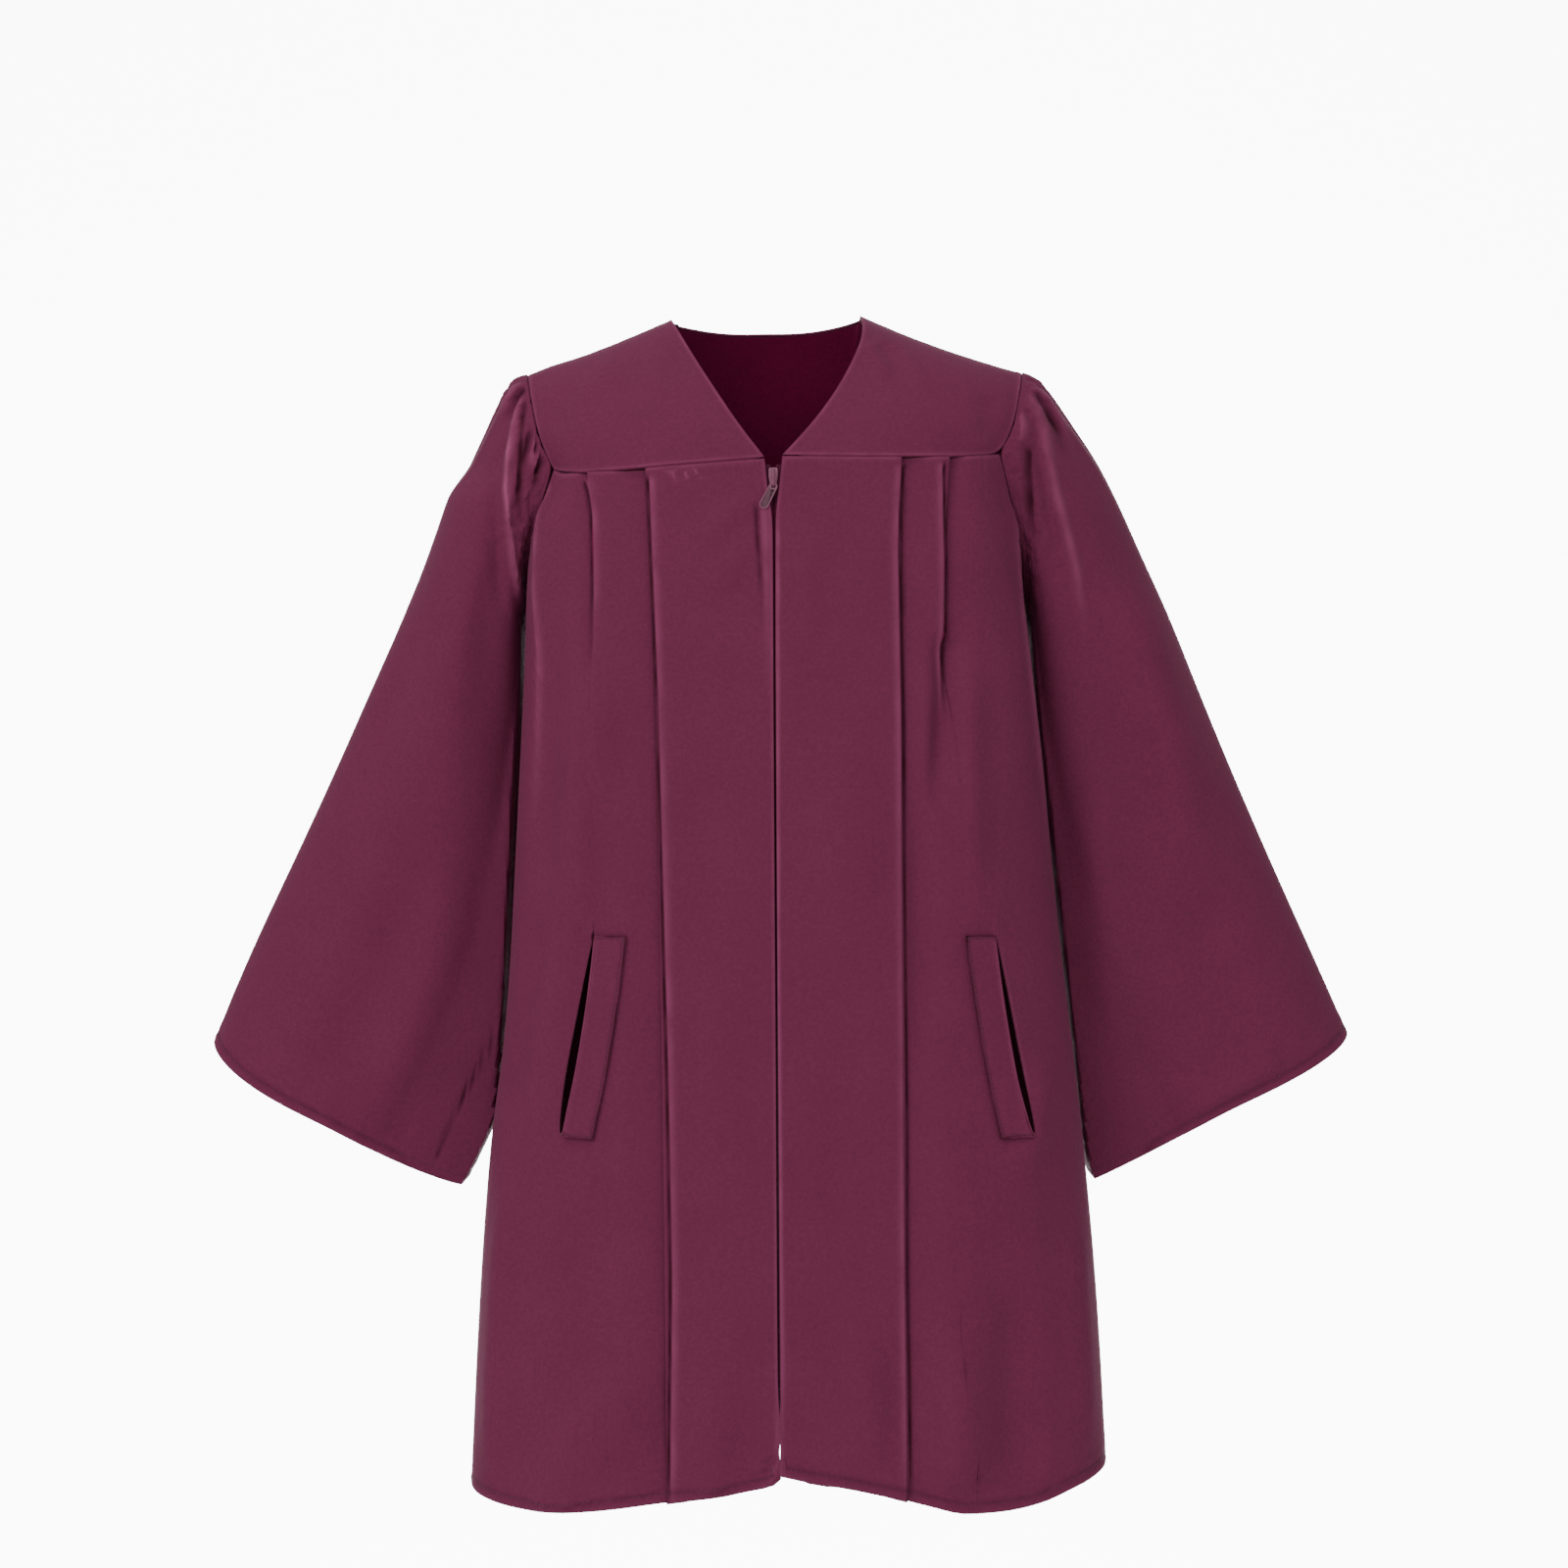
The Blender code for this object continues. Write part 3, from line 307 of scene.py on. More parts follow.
def crease_share(row, x, drop):
    """How much of a crease is felt at a place seen from the front, from 0 to 1."""
    left, right, height, begin, end, path = row
    reach = CREASE_REACH * max(left, right)
    nearest = None
    for k in range(len(path) - 1):
        ax, ad = path[k]
        bx, bd = path[k + 1]
        if min(ax, bx) - reach > x or max(ax, bx) + reach < x:
            continue
        if min(ad, bd) - reach > drop or max(ad, bd) + reach < drop:
            continue
        long = (bx - ax) ** 2 + (bd - ad) ** 2
        run = kept_in(((x - ax) * (bx - ax) + (drop - ad) * (bd - ad)) / long)
        off = math.hypot(x - ax - run * (bx - ax), drop - ad - run * (bd - ad))
        if nearest is None or off < nearest[0]:
            turn = (x - ax) * (bd - ad) - (drop - ad) * (bx - ax)
            nearest = (off, turn, (k + run) / (len(path) - 1))
    if nearest is None:
        return 0.0
    off, turn, share = nearest
    fade = min(1.0, share / begin) * min(1.0, (1 - share) / end)
    width = right if turn > 0 else left
    return eased(fade) * math.exp(-((off / width) ** 2))


def reach_of(row):
    """The part of the front view that a crease can touch."""
    reach = CREASE_REACH * max(row[0], row[1])
    xs = [spot[0] for spot in row[5]]
    drops = [spot[1] for spot in row[5]]
    return min(xs) - reach, max(xs) + reach, min(drops) - reach, max(drops) + reach


def push_creases(made, rows, away, share=lambda place: 1.0, across=lambda place: place.x):
    """Rows are creases: soft width each side, height, fades at both ends, and a path.

    A fine fold gets painted highlight along its crest, and a fine groove gets painted shade.
    """
    painted_light_and_shade = made.verts.layers.float["painted_light_and_shade"]
    reaches = [(row, *reach_of(row)) for row in rows]
    for point in made.verts:
        x, drop = across(point.co), -point.co.z
        height = 0.0
        tone = 0.0
        for row, low_x, high_x, low_drop, high_drop in reaches:
            if low_x < x < high_x and low_drop < drop < high_drop:
                felt = crease_share(row, x, drop)
                height += row[2] * felt
                if max(row[0], row[1]) < FINE_FOLD:
                    tone += felt * (CREST_PAINTED_HIGHLIGHT if row[2] > 0 else -GROOVE_PAINTED_SHADE)
        if height or tone:
            amount = share(point.co)
            point.co += away(point.co) * height * amount
            point[painted_light_and_shade] += tone * amount * (1 + 0.7 * noise.noise(point.co / 0.011))


def clear_of(far, width=SEAM_CLEAR):
    """0 on a seam and 1 clear of it, so that no crease opens the seam."""
    return lambda place: min(1.0, far(place) / width)


def finer_columns(made, rows, cuts):
    """Narrower faces along upright folds, by cutting the level edges that cross them."""
    edges = []
    for edge in made.edges:
        a, b = edge.verts[0].co, edge.verts[1].co
        middle = (a + b) / 2
        if abs(a.z - b.z) < 0.5 * edge.calc_length():
            if any(crease_share(row, middle.x, -middle.z) > 0.02 for row in rows):
                edges.append(edge)
    bmesh.ops.subdivide_edges(made, edges=edges, cuts=cuts, use_grid_fill=True)


def pucker(made, far, away, height, reach, pitch):
    """Uneven little puckers that a sewn line leaves in the cloth beside it."""
    for point in made.verts:
        off = far(point.co)
        if off < 4 * reach:
            ripple = noise.noise(point.co / pitch) + 0.5 * noise.noise(point.co / pitch * 2.3)
            rise = off / reach * math.exp(1 - off / reach)
            point.co += away(point.co) * ripple * height * rise


def line_beside(made, far, away, at, width, depth, tone):
    """A line that follows a cut edge: sunk by its depth, with painted highlight where its tone is
    above 0 and painted shade where it is below.
    """
    painted_light_and_shade = made.verts.layers.float["painted_light_and_shade"]
    for point in made.verts:
        off = far(point.co) - at
        if abs(off) < 3 * width:
            felt = math.exp(-((off / width) ** 2))
            uneven = 0.8 + 0.5 * noise.noise(point.co / 0.009)
            point.co -= away(point.co) * depth * felt
            point[painted_light_and_shade] += tone * felt * uneven


def turn_in(made, away=None, sewn=lambda place: False):
    """Every cut edge is turned to the inside, its turned rows in painted shade. Sewn ones close
    against their neighbour.
    """
    made.normal_update()
    painted_light_and_shade = made.verts.layers.float["painted_light_and_shade"]
    ways = {}
    for edge in made.edges:
        if not edge.is_boundary:
            continue
        face = edge.link_faces[0]
        middle = (edge.verts[0].co + edge.verts[1].co) / 2
        along = (edge.verts[1].co - edge.verts[0].co).normalized()
        out = along.cross(face.normal)
        if out.dot(middle - face.calc_center_median()) < 0:
            out.negate()
        for end in edge.verts:
            ways.setdefault(end, []).append((out, face.normal))
    frames = {}
    for end, found in ways.items():
        out = sum((way[0] for way in found), Vector()).normalized()
        up = away(end.co) if away else sum((way[1] for way in found), Vector()).normalized()
        close = sewn(end.co)
        frames[end] = (end.co.copy(), out, up, close)
    for reach, depth, tone in EDGE_TURN:
        edges = rim(made)
        turned = bmesh.ops.extrude_edge_only(made, edges=edges)["geom"]
        fresh = {}
        for point in turned:
            if isinstance(point, bmesh.types.BMVert):
                for edge in point.link_edges:
                    other = edge.other_vert(point)
                    if other in frames:
                        fresh[point] = frames[other]
        for point, (start, out, up, close) in fresh.items():
            # Painted shade on the turned rows, full where sewn and half where free.
            if close:
                point.co = start + out * reach - up * depth
                point[painted_light_and_shade] = tone
            else:
                point.co = start - out * reach * 0.3 - up * min(depth, 0.0014)
                point[painted_light_and_shade] = tone * 0.5
        frames = fresh


def runs_of(edges):
    """Cut edges put in order, as runs of places with the way in from the edge."""
    nexts = {}
    inward = {}
    for edge in edges:
        face = edge.link_faces[0]
        middle = (edge.verts[0].co + edge.verts[1].co) / 2
        along = (edge.verts[1].co - edge.verts[0].co).normalized()
        way = face.calc_center_median() - middle
        way = (way - along * way.dot(along)).normalized()
        for end, other in (edge.verts, reversed(edge.verts)):
            nexts.setdefault(end, []).append(other)
            inward[end] = inward.get(end, Vector()) + way
    runs = []
    seen = set()
    for start in sorted(nexts, key=lambda end: (len(nexts[end]), end.index)):
        if start in seen:
            continue
        run = [start]
        seen.add(start)
        while True:
            ahead = [end for end in nexts[run[-1]] if end not in seen]
            if not ahead:
                break
            run.append(ahead[0])
            seen.add(ahead[0])
        if start in nexts[run[-1]] and len(run) > 2:
            run.append(start)
        runs.append([(end.co.copy(), inward[end].normalized()) for end in run])
    return runs


STITCH_PITCH = 0.0027
STITCH = (0.0018, 0.00048, 0.00036)
STITCH_LIFT = 0.22


def lockstitches(made, edges, inset, away):
    """Where each stitch lies along cut edges: on the cloth, inset, with its direction."""
    made.verts.index_update()
    made.normal_update()
    cloth = BVHTree.FromBMesh(made)
    places = []
    for run in runs_of(edges):
        spare = 0.0
        for (a, way_a), (b, way_b) in zip(run, run[1:]):
            long = (b - a).length
            along = (b - a).normalized()
            while spare < long:
                share = spare / long
                spot = a.lerp(b, share) + way_a.lerp(way_b, share).normalized() * inset
                spot, up = cloth.find_nearest(spot)[:2]
                if up.dot(away(spot)) < 0:
                    up.negate()
                places.append((spot, along, up))
                spare += STITCH_PITCH
            spare -= long
    return places


def bead(made, spot, axes, size):
    """A small rounded bead of thread or nylon, by its three measures along three ways."""
    turn = Matrix(axes).transposed().to_4x4()
    stretch = Matrix.Diagonal([measure / 2 for measure in size] + [1])
    bmesh.ops.create_icosphere(
        made, subdivisions=1, radius=1, matrix=Matrix.Translation(spot) @ turn @ stretch
    )


def sew(name, places):
    """One object of small tight stitches that ride with the gown."""
    made = bmesh.new()
    for spot, along, up in places:
        side = up.cross(along).normalized()
        along = side.cross(up).normalized()
        bead(made, spot + up * STITCH[2] * STITCH_LIFT, (along, side, up), STITCH)
    piece = as_piece(made, name, plum_thread)
    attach(piece, "gown")


def nylon(name, roughness, scale, low, high):
    """Dyed nylon whose two tones follow a fine noise."""
    material, tree, shader = new_material(name, roughness)
    tone = dye_mix(tree, object_noise(tree, scale, 2), low, high)
    tree.links.new(tone, shader.inputs["Base Color"])
    return material, shader


# Dark plum thread, darker than the cloth: partly its own dye and partly painted shade on the stitch
# lines.
plum_thread, shader = nylon(
    "plum_thread", 0.5, 1400, (0.040, 0.0030, 0.014, 1), (0.095, 0.0100, 0.036, 1)
)
shader.inputs["Sheen Weight"].default_value = 0.04


def lay_threads(made, across, down):
    """The UV map of a cloth: metres along its two threads."""
    threads = made.loops.layers.uv.new("threads")
    for face in made.faces:
        for corner in face.loops:
            corner[threads].uv = (across(corner.vert.co), down(corner.vert.co))


def give_wall(piece, thickness):
    """The cloth gets its thickness to the inside."""
    wall = piece.modifiers.new("wall", "SOLIDIFY")
    wall.thickness = thickness
    wall.offset = -1
    return wall


def finish_cloth(made, node, across, down, flat, area):
    """Names the piece, lays its threads, gives it its wall and fixes it in the gown."""
    lay_threads(made, across, down)
    piece = as_piece(made, node + "_cloth", gown_cloth, gown_inside_painted_shade)
    # The wall's inner faces take the inside material with its painted shade.
    give_wall(piece, CLOTH).material_offset = 1
    edge = piece.modifiers.new("edge", "BEVEL")
    edge.width = 0.0003
    edge.segments = 2
    edge.limit_method = "ANGLE"
    edge.angle_limit = math.radians(50)
    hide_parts(node)
    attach(piece, "gown")
    return piece


def round_body(place):
    """Metres round the body from centre front or centre back."""
    angle = math.atan2(place.x, -place.y if place.y < 0 else place.y)
    return angle * (BODY_HALF_WIDTH + BODY_HALF_DEPTH) / 2


# Each row is a crease: soft width to its left and right, height out, the shares of its
# length over which it rises and dies away, and its path as (x, drop below the shoulders).
# Folds are the fine pressed ones: the pleats' edges, the zip strip and the side edge.
# Fine rows in these tables and in the sleeves' tables also get painted highlight on a crest and
# painted shade in a groove.
FRONT_RIGHT_FOLDS = (
    # long pleat's edge
    (0.0009, 0.0026, 0.0004, 0.01, 0.05,
     ((-0.0682, 0.0902), (-0.0656, 0.1472), (-0.063, 0.2036), (-0.0615, 0.255), (-0.06, 0.3064),
      (-0.0584, 0.3577), (-0.0569, 0.4091), (-0.0558, 0.4604), (-0.0548, 0.5118),
      (-0.0553, 0.5734), (-0.0558, 0.6376))),
    # line under it
    (0.0009, 0.0009, -0.0006, 0.01, 0.05,
     ((-0.0698, 0.0902), (-0.0672, 0.1472), (-0.0647, 0.2036), (-0.0631, 0.255),
      (-0.0616, 0.3064), (-0.0601, 0.3577), (-0.0585, 0.4091), (-0.0575, 0.4604),
      (-0.0565, 0.5118), (-0.057, 0.5734), (-0.0575, 0.6376))),
    # short pleat's edge
    (0.0009, 0.0024, 0.0005, 0.02, 0.5,
     ((-0.1026, 0.0927), (-0.1, 0.102), (-0.0985, 0.1112), (-0.0974, 0.1317), (-0.0969, 0.1523),
      (-0.0969, 0.1728), (-0.0969, 0.2036))),
    # line under it
    (0.0009, 0.0009, -0.0009, 0.02, 0.5,
     ((-0.1042, 0.0927), (-0.1017, 0.102), (-0.1001, 0.1112), (-0.0991, 0.1317),
      (-0.0986, 0.1523), (-0.0986, 0.1728), (-0.0986, 0.2036))),
    # strip beside the zip
    (0.0024, 0.0026, 0.0007, 0.1, 0.5,
     ((-0.0081, 0.104), (-0.0071, 0.1215), (-0.0065, 0.142), (-0.0055, 0.178), (-0.005, 0.2139))),
    # its folded edge
    (0.0012, 0.0012, -0.0004, 0.1, 0.5,
     ((-0.0122, 0.105), (-0.0117, 0.1215), (-0.0101, 0.142), (-0.0086, 0.178))),
    # pucker
    (0.0009, 0.0009, 0.0006, 0.2, 0.6,
     ((-0.0569, 0.0886), (-0.0553, 0.0927), (-0.0533, 0.0979))),
    # pucker
    (0.0008, 0.0008, 0.0005, 0.2, 0.6,
     ((-0.0502, 0.0881), (-0.0487, 0.0927), (-0.0461, 0.0984))),
    # pucker
    (0.0008, 0.0008, 0.0005, 0.2, 0.6,
     ((-0.0451, 0.0876), (-0.043, 0.0912), (-0.0399, 0.0958))),
    # side edge
    (0.001, 0.0018, 0.0006, 0.1, 0.3,
     ((-0.1226, 0.0912), (-0.1262, 0.1009), (-0.1277, 0.1081), (-0.1283, 0.1297),
      (-0.1293, 0.1728), (-0.1308, 0.2345), (-0.1339, 0.2961))),
)

FRONT_LEFT_FOLDS = (
    # long pleat's edge
    (0.0026, 0.0009, 0.0004, 0.01, 0.05,
     ((0.0643, 0.085), (0.0628, 0.1112), (0.0623, 0.1317), (0.0633, 0.1934), (0.0638, 0.255),
      (0.0648, 0.3577), (0.0654, 0.4347), (0.0654, 0.5118), (0.0664, 0.5734), (0.0669, 0.6325))),
    # line under it
    (0.0009, 0.0009, -0.0006, 0.01, 0.05,
     ((0.066, 0.085), (0.0644, 0.1112), (0.0639, 0.1317), (0.0649, 0.1934), (0.0655, 0.255),
      (0.0665, 0.3577), (0.067, 0.4347), (0.067, 0.5118), (0.068, 0.5734), (0.0685, 0.6325))),
    # short pleat's edge
    (0.0024, 0.0009, 0.0005, 0.02, 0.3,
     ((0.0864, 0.0835), (0.0864, 0.1112), (0.0869, 0.142), (0.0864, 0.1728), (0.0864, 0.2036),
      (0.0859, 0.2242))),
    # line under it
    (0.001, 0.001, -0.001, 0.02, 0.3,
     ((0.0881, 0.0835), (0.0881, 0.1112), (0.0886, 0.142), (0.0881, 0.1728), (0.0881, 0.2036),
      (0.0875, 0.2242))),
    # edge beside the zip
    (0.0009, 0.0012, 0.00035, 0.05, 0.2,
     ((-0.0004, 0.1112), (-0.0004, 0.2036), (-0.0004, 0.3577), (0.0017, 0.5118),
      (0.0027, 0.5939))),
    # side edge
    (0.0018, 0.001, 0.0006, 0.1, 0.3,
     ((0.126, 0.1009), (0.1285, 0.1317), (0.1326, 0.1728), (0.1373, 0.2139), (0.1414, 0.255),
      (0.1465, 0.3064))),
)

FRONT_RIGHT_CREASES = (
    # released fullness under the short pleat
    (0.009, 0.012, 0.008, 0.18, 0.3,
     ((-0.0974, 0.1728), (-0.0985, 0.2139), (-0.1016, 0.255), (-0.1062, 0.2961),
      (-0.1134, 0.3423), (-0.1206, 0.3885), (-0.1267, 0.4399), (-0.1308, 0.4964))),
    # hollow beside it
    (0.009, 0.008, -0.005, 0.3, 0.3,
     ((-0.1175, 0.1317), (-0.1206, 0.1831), (-0.1241, 0.2345), (-0.1262, 0.2858),
      (-0.1283, 0.332))),
    # light fold from the armhole
    (0.013, 0.01, 0.00175, 0.25, 0.5,
     ((-0.1062, 0.1163), (-0.1067, 0.1728), (-0.1087, 0.2345), (-0.1134, 0.2858),
      (-0.1195, 0.3269))),
    # rise at the armhole
    (0.007, 0.007, 0.004, 0.3, 0.4,
     ((-0.1226, 0.0937), (-0.1257, 0.1215), (-0.1272, 0.1523), (-0.1283, 0.1934))),
    # pull from the zip
    (0.005, 0.006, 0.00225, 0.3, 0.4,
     ((-0.0127, 0.1009), (-0.0291, 0.1153), (-0.0487, 0.1328))),
    # lower pull from the zip
    (0.005, 0.005, 0.002, 0.3, 0.4,
     ((-0.0168, 0.1256), (-0.0255, 0.142), (-0.0343, 0.1574))),
    # drape to the hem
    (0.012, 0.016, 0.0055, 0.25, 0.1,
     ((-0.0579, 0.5652), (-0.0795, 0.5775), (-0.101, 0.595), (-0.1134, 0.6171),
      (-0.1175, 0.6402))),
    # hollow above the drape
    (0.018, 0.018, -0.0045, 0.3, 0.3,
     ((-0.1206, 0.4861), (-0.1051, 0.5169), (-0.0974, 0.5477), (-0.1051, 0.5785))),
    # swell beside the zip
    (0.012, 0.012, 0.004, 0.3, 0.1,
     ((-0.0307, 0.558), (-0.0343, 0.5888), (-0.0343, 0.6299))),
    # hollow by the zip end
    (0.007, 0.009, -0.00075, 0.3, 0.2,
     ((-0.0101, 0.4091), (-0.0086, 0.4861), (-0.0096, 0.5734), (-0.0127, 0.6145))),
    # outer edge fold
    (0.006, 0.008, 0.0045, 0.2, 0.1,
     ((-0.1411, 0.4501), (-0.1473, 0.5118), (-0.1503, 0.5631), (-0.1514, 0.6196))),
    # soft hollow mid panel
    (0.014, 0.014, -0.003, 0.4, 0.4,
     ((-0.0332, 0.2036), (-0.0384, 0.2807), (-0.0353, 0.3577))),
    # soft swell mid panel
    (0.014, 0.014, 0.003, 0.4, 0.4,
     ((-0.0281, 0.3372), (-0.0307, 0.4091), (-0.0271, 0.481))),
    # pocket pull
    (0.006, 0.008, -0.0025, 0.3, 0.3,
     ((-0.1, 0.444), (-0.0897, 0.4758), (-0.0743, 0.5118))),
)

FRONT_LEFT_CREASES = (
    # streak under the yoke
    (0.005, 0.007, 0.00225, 0.4, 0.4,
     ((0.0119, 0.1317), (0.015, 0.1574), (0.0171, 0.1857))),
    # fullness beside the short pleat
    (0.008, 0.009, 0.0055, 0.3, 0.4,
     ((0.0767, 0.178), (0.0756, 0.2242), (0.0797, 0.2807), (0.0838, 0.3372))),
    # end of the short pleat
    (0.006, 0.009, -0.005, 0.1, 0.5,
     ((0.0864, 0.1728), (0.0869, 0.2036), (0.0833, 0.2345), (0.0787, 0.2807), (0.0746, 0.3372))),
    # fullness outside it
    (0.009, 0.01, 0.0055, 0.3, 0.4,
     ((0.0977, 0.1728), (0.0977, 0.2242), (0.1003, 0.2858), (0.1054, 0.3372))),
    # hollow outside the long pleat
    (0.005, 0.012, -0.003, 0.2, 0.3,
     ((0.0725, 0.2447), (0.0731, 0.3064), (0.0741, 0.368), (0.0746, 0.4193))),
    # ridge round the pocket's foot
    (0.007, 0.007, 0.005, 0.3, 0.4,
     ((0.1352, 0.3885), (0.1383, 0.4142), (0.1362, 0.4373), (0.127, 0.4532), (0.1157, 0.463))),
    # hollow by the zip end
    (0.009, 0.007, -0.00075, 0.3, 0.2,
     ((0.0089, 0.4091), (0.0104, 0.4861), (0.0119, 0.5631), (0.014, 0.6093))),
    # drape mark
    (0.006, 0.009, -0.003, 0.3, 0.4,
     ((0.0161, 0.5313), (0.0274, 0.5508), (0.0438, 0.5744))),
    # swell beside the drape mark
    (0.01, 0.01, 0.0045, 0.3, 0.2,
     ((0.0376, 0.5272), (0.0469, 0.5734), (0.0464, 0.6145))),
    # swell at the hem
    (0.014, 0.014, 0.006, 0.3, 0.1,
     ((0.091, 0.5375), (0.0926, 0.5785), (0.0941, 0.6248))),
    # hollow at the hem
    (0.014, 0.014, -0.0055, 0.3, 0.1,
     ((0.1234, 0.5118), (0.126, 0.5631), (0.1239, 0.6248))),
    # outer edge fold
    (0.008, 0.006, 0.004, 0.2, 0.1,
     ((0.1557, 0.481), (0.1598, 0.5426), (0.1629, 0.6042))),
    # side fold from the armhole
    (0.0032, 0.0036, 0.00203, 0.15, 0.5,
     ((0.1213, 0.0763), (0.1239, 0.0907), (0.126, 0.1112), (0.128, 0.1317), (0.1311, 0.1626))),
    # soft swell mid panel
    (0.016, 0.016, 0.0035, 0.4, 0.4,
     ((0.0335, 0.2036), (0.0325, 0.2807), (0.0345, 0.3577))),
    # soft hollow mid panel
    (0.014, 0.014, -0.003, 0.4, 0.4,
     ((0.0345, 0.3783), (0.0325, 0.4399), (0.0356, 0.5066))),
)

FRONT_PIECES = (
    ("right", FRONT_RIGHT_CREASES, FRONT_RIGHT_FOLDS, (0.280, 0.556), 0.136),
    ("left", FRONT_LEFT_CREASES, FRONT_LEFT_FOLDS, (0.290, 0.560), 0.140),
)

SIDE_SEAM = 0.1590
ZIP_EDGE = 0.012
HEM_FREE, HEM_CUT = -0.62, -0.605
HEM_RISE, HEM_RISE_FROM = 1.2, 0.15
POCKET_FOOT, POCKET_TOP, POCKET_FRONT = -0.48, -0.33, -0.03
# A pucker is its height, reach and pitch. A line is how far in it lies, width, depth and tone, a
# painted highlight above 0 and painted shade below 0.
SEAM_PUCKER = (0.0007, 0.004, 0.006)
HEM_PUCKER_PITCH = 0.010
# The hem's stitch groove is sunk and in painted shade. The turned edge gets only a painted
# highlight.
HEM_GROOVE = (HEM_LINE, 0.0011, 0.0005, -0.30)
TURNED_EDGE_HIGHLIGHT = (0.0008, 0.0008, 0.0, 0.24)


def under_hem(place, foot):
    """True below the hem's curve, which rises towards the side seams."""
    return place.z < foot + HEM_RISE * max(0.0, abs(place.x) - HEM_RISE_FROM)


def front_free(place):
    """True on the front panels' edges that aren't sewn: hem, zip edge and pocket slit."""
    if abs(place.x) > SIDE_SEAM:
        return False
    if under_hem(place, HEM_FREE) or abs(place.x) < ZIP_EDGE:
        return True
    return POCKET_FOOT < place.z < POCKET_TOP and place.y < POCKET_FRONT


# Below the zip's end the two edges lean together: drop, then the right edge's lean and the left's.
BELOW_ZIP = (
    (0.576, 0.0, 0.0), (0.586, 0.0017, 0.0009), (0.599, 0.0016, 0.0008), (0.6035, 0.0006, 0.0),
    (0.6090, 0.0006, 0.0), (0.6130, 0.0022, 0.0007), (0.640, 0.0027, 0.0007),
)
LEAN_REACH = 0.008
CORNER_TOP, CORNER_REACH = 0.598, 0.020
CORNER_ROUND, CORNER_TUCK = 0.0052, 0.0005


def meet_below_zip(made, side):
    """The front corners under the zip hang back together, the right one a little rounded."""
    column, way = (1, 1) if side == "right" else (2, -1)
    for point in made.verts:
        drop = -point.co.z
        for above, below in zip(BELOW_ZIP, BELOW_ZIP[1:]):
            if above[0] <= drop < below[0]:
                share = (drop - above[0]) / (below[0] - above[0])
                lean = above[column] + (below[column] - above[column]) * share
                point.co.x += lean * max(0.0, 1 - abs(point.co.x) / LEAN_REACH) * way
        low = kept_in((drop - CORNER_TOP) / CORNER_REACH)
        near = max(0.0, 1 - abs(point.co.x) / CORNER_REACH)
        if side == "right":
            point.co.x += CORNER_ROUND * low * low * near * near
        else:
            point.co.x -= CORNER_TUCK * low * near


def hem_finish(made, hem, hem_far, cut_far, away, ripple, reach):
    """Puckers at the hem, its sunk stitch line in painted shade, a painted highlight along its
    turned edge, and its stitches.
    """
    pucker(made, hem_far, away, ripple, reach, HEM_PUCKER_PITCH)
    line_beside(made, hem_far, away, *HEM_GROOVE)
    line_beside(made, cut_far, away, *TURNED_EDGE_HIGHLIGHT)
    return lockstitches(made, hem, HEM_LINE, away)


hem_stitches = []
for side, creases, folds, flat, area in FRONT_PIECES:
    made = outer_skin("front_panel_" + side)
    finer_columns(made, folds, 3)
    finer_rim(made, rim(made), 4)
    hem = rim(made, lambda place: under_hem(place, HEM_CUT))
    cut_far = far_from(rim(made))
    sewn_far = far_from(rim(made, lambda place: not front_free(place)))
    hem_far = far_from(hem)
    push_creases(made, creases + folds, body_away, clear_of(sewn_far))
    meet_below_zip(made, side)
    pucker(made, sewn_far, body_away, *SEAM_PUCKER)
    hem_stitches += hem_finish(made, hem, hem_far, cut_far, body_away, 0.0006, 0.006)
    turn_in(made, body_away, lambda place: not front_free(place))
    finish_cloth(
        made, "front_panel_" + side, round_body, lambda place: place.z,
        flat, area,
    )

# Back panel. One piece from yoke to hem, with two knife pleats each side.
# It falls in soft columns from the pleats to the hem.
BACK_HEM_TOP, BACK_HEM_CUT = -0.60, -0.58
BACK_SIDE = 0.15
BACK_CREASES = (
    (0.014, 0.014, 0.0035, 0.3, 0.1,
     ((-0.030, 0.20), (-0.034, 0.36), (-0.040, 0.52), (-0.042, 0.64))),
    (0.012, 0.013, -0.0030, 0.3, 0.1,
     ((-0.008, 0.24), (-0.006, 0.40), (-0.010, 0.54), (-0.012, 0.64))),
    (0.013, 0.012, 0.0028, 0.3, 0.1, ((0.022, 0.30), (0.026, 0.42), (0.028, 0.54), (0.032, 0.64))),
    (0.010, 0.012, -0.0026, 0.3, 0.2, ((0.050, 0.22), (0.056, 0.36), (0.058, 0.50), (0.062, 0.62))),
    (0.012, 0.014, 0.0030, 0.3, 0.1, ((0.088, 0.20), (0.096, 0.34), (0.100, 0.50), (0.104, 0.64))),
    (0.012, 0.012, -0.0028, 0.3, 0.2,
     ((-0.070, 0.24), (-0.076, 0.38), (-0.078, 0.52), (-0.080, 0.62))),
    (0.012, 0.012, 0.0032, 0.3, 0.1,
     ((-0.104, 0.22), (-0.110, 0.38), (-0.114, 0.52), (-0.118, 0.64))),
    (0.005, 0.006, 0.0012, 0.3, 0.4, ((0.010, 0.11), (0.028, 0.13), (0.050, 0.16))),
    (0.005, 0.005, -0.0010, 0.3, 0.4, ((-0.012, 0.12), (-0.030, 0.15), (-0.046, 0.19))),
)

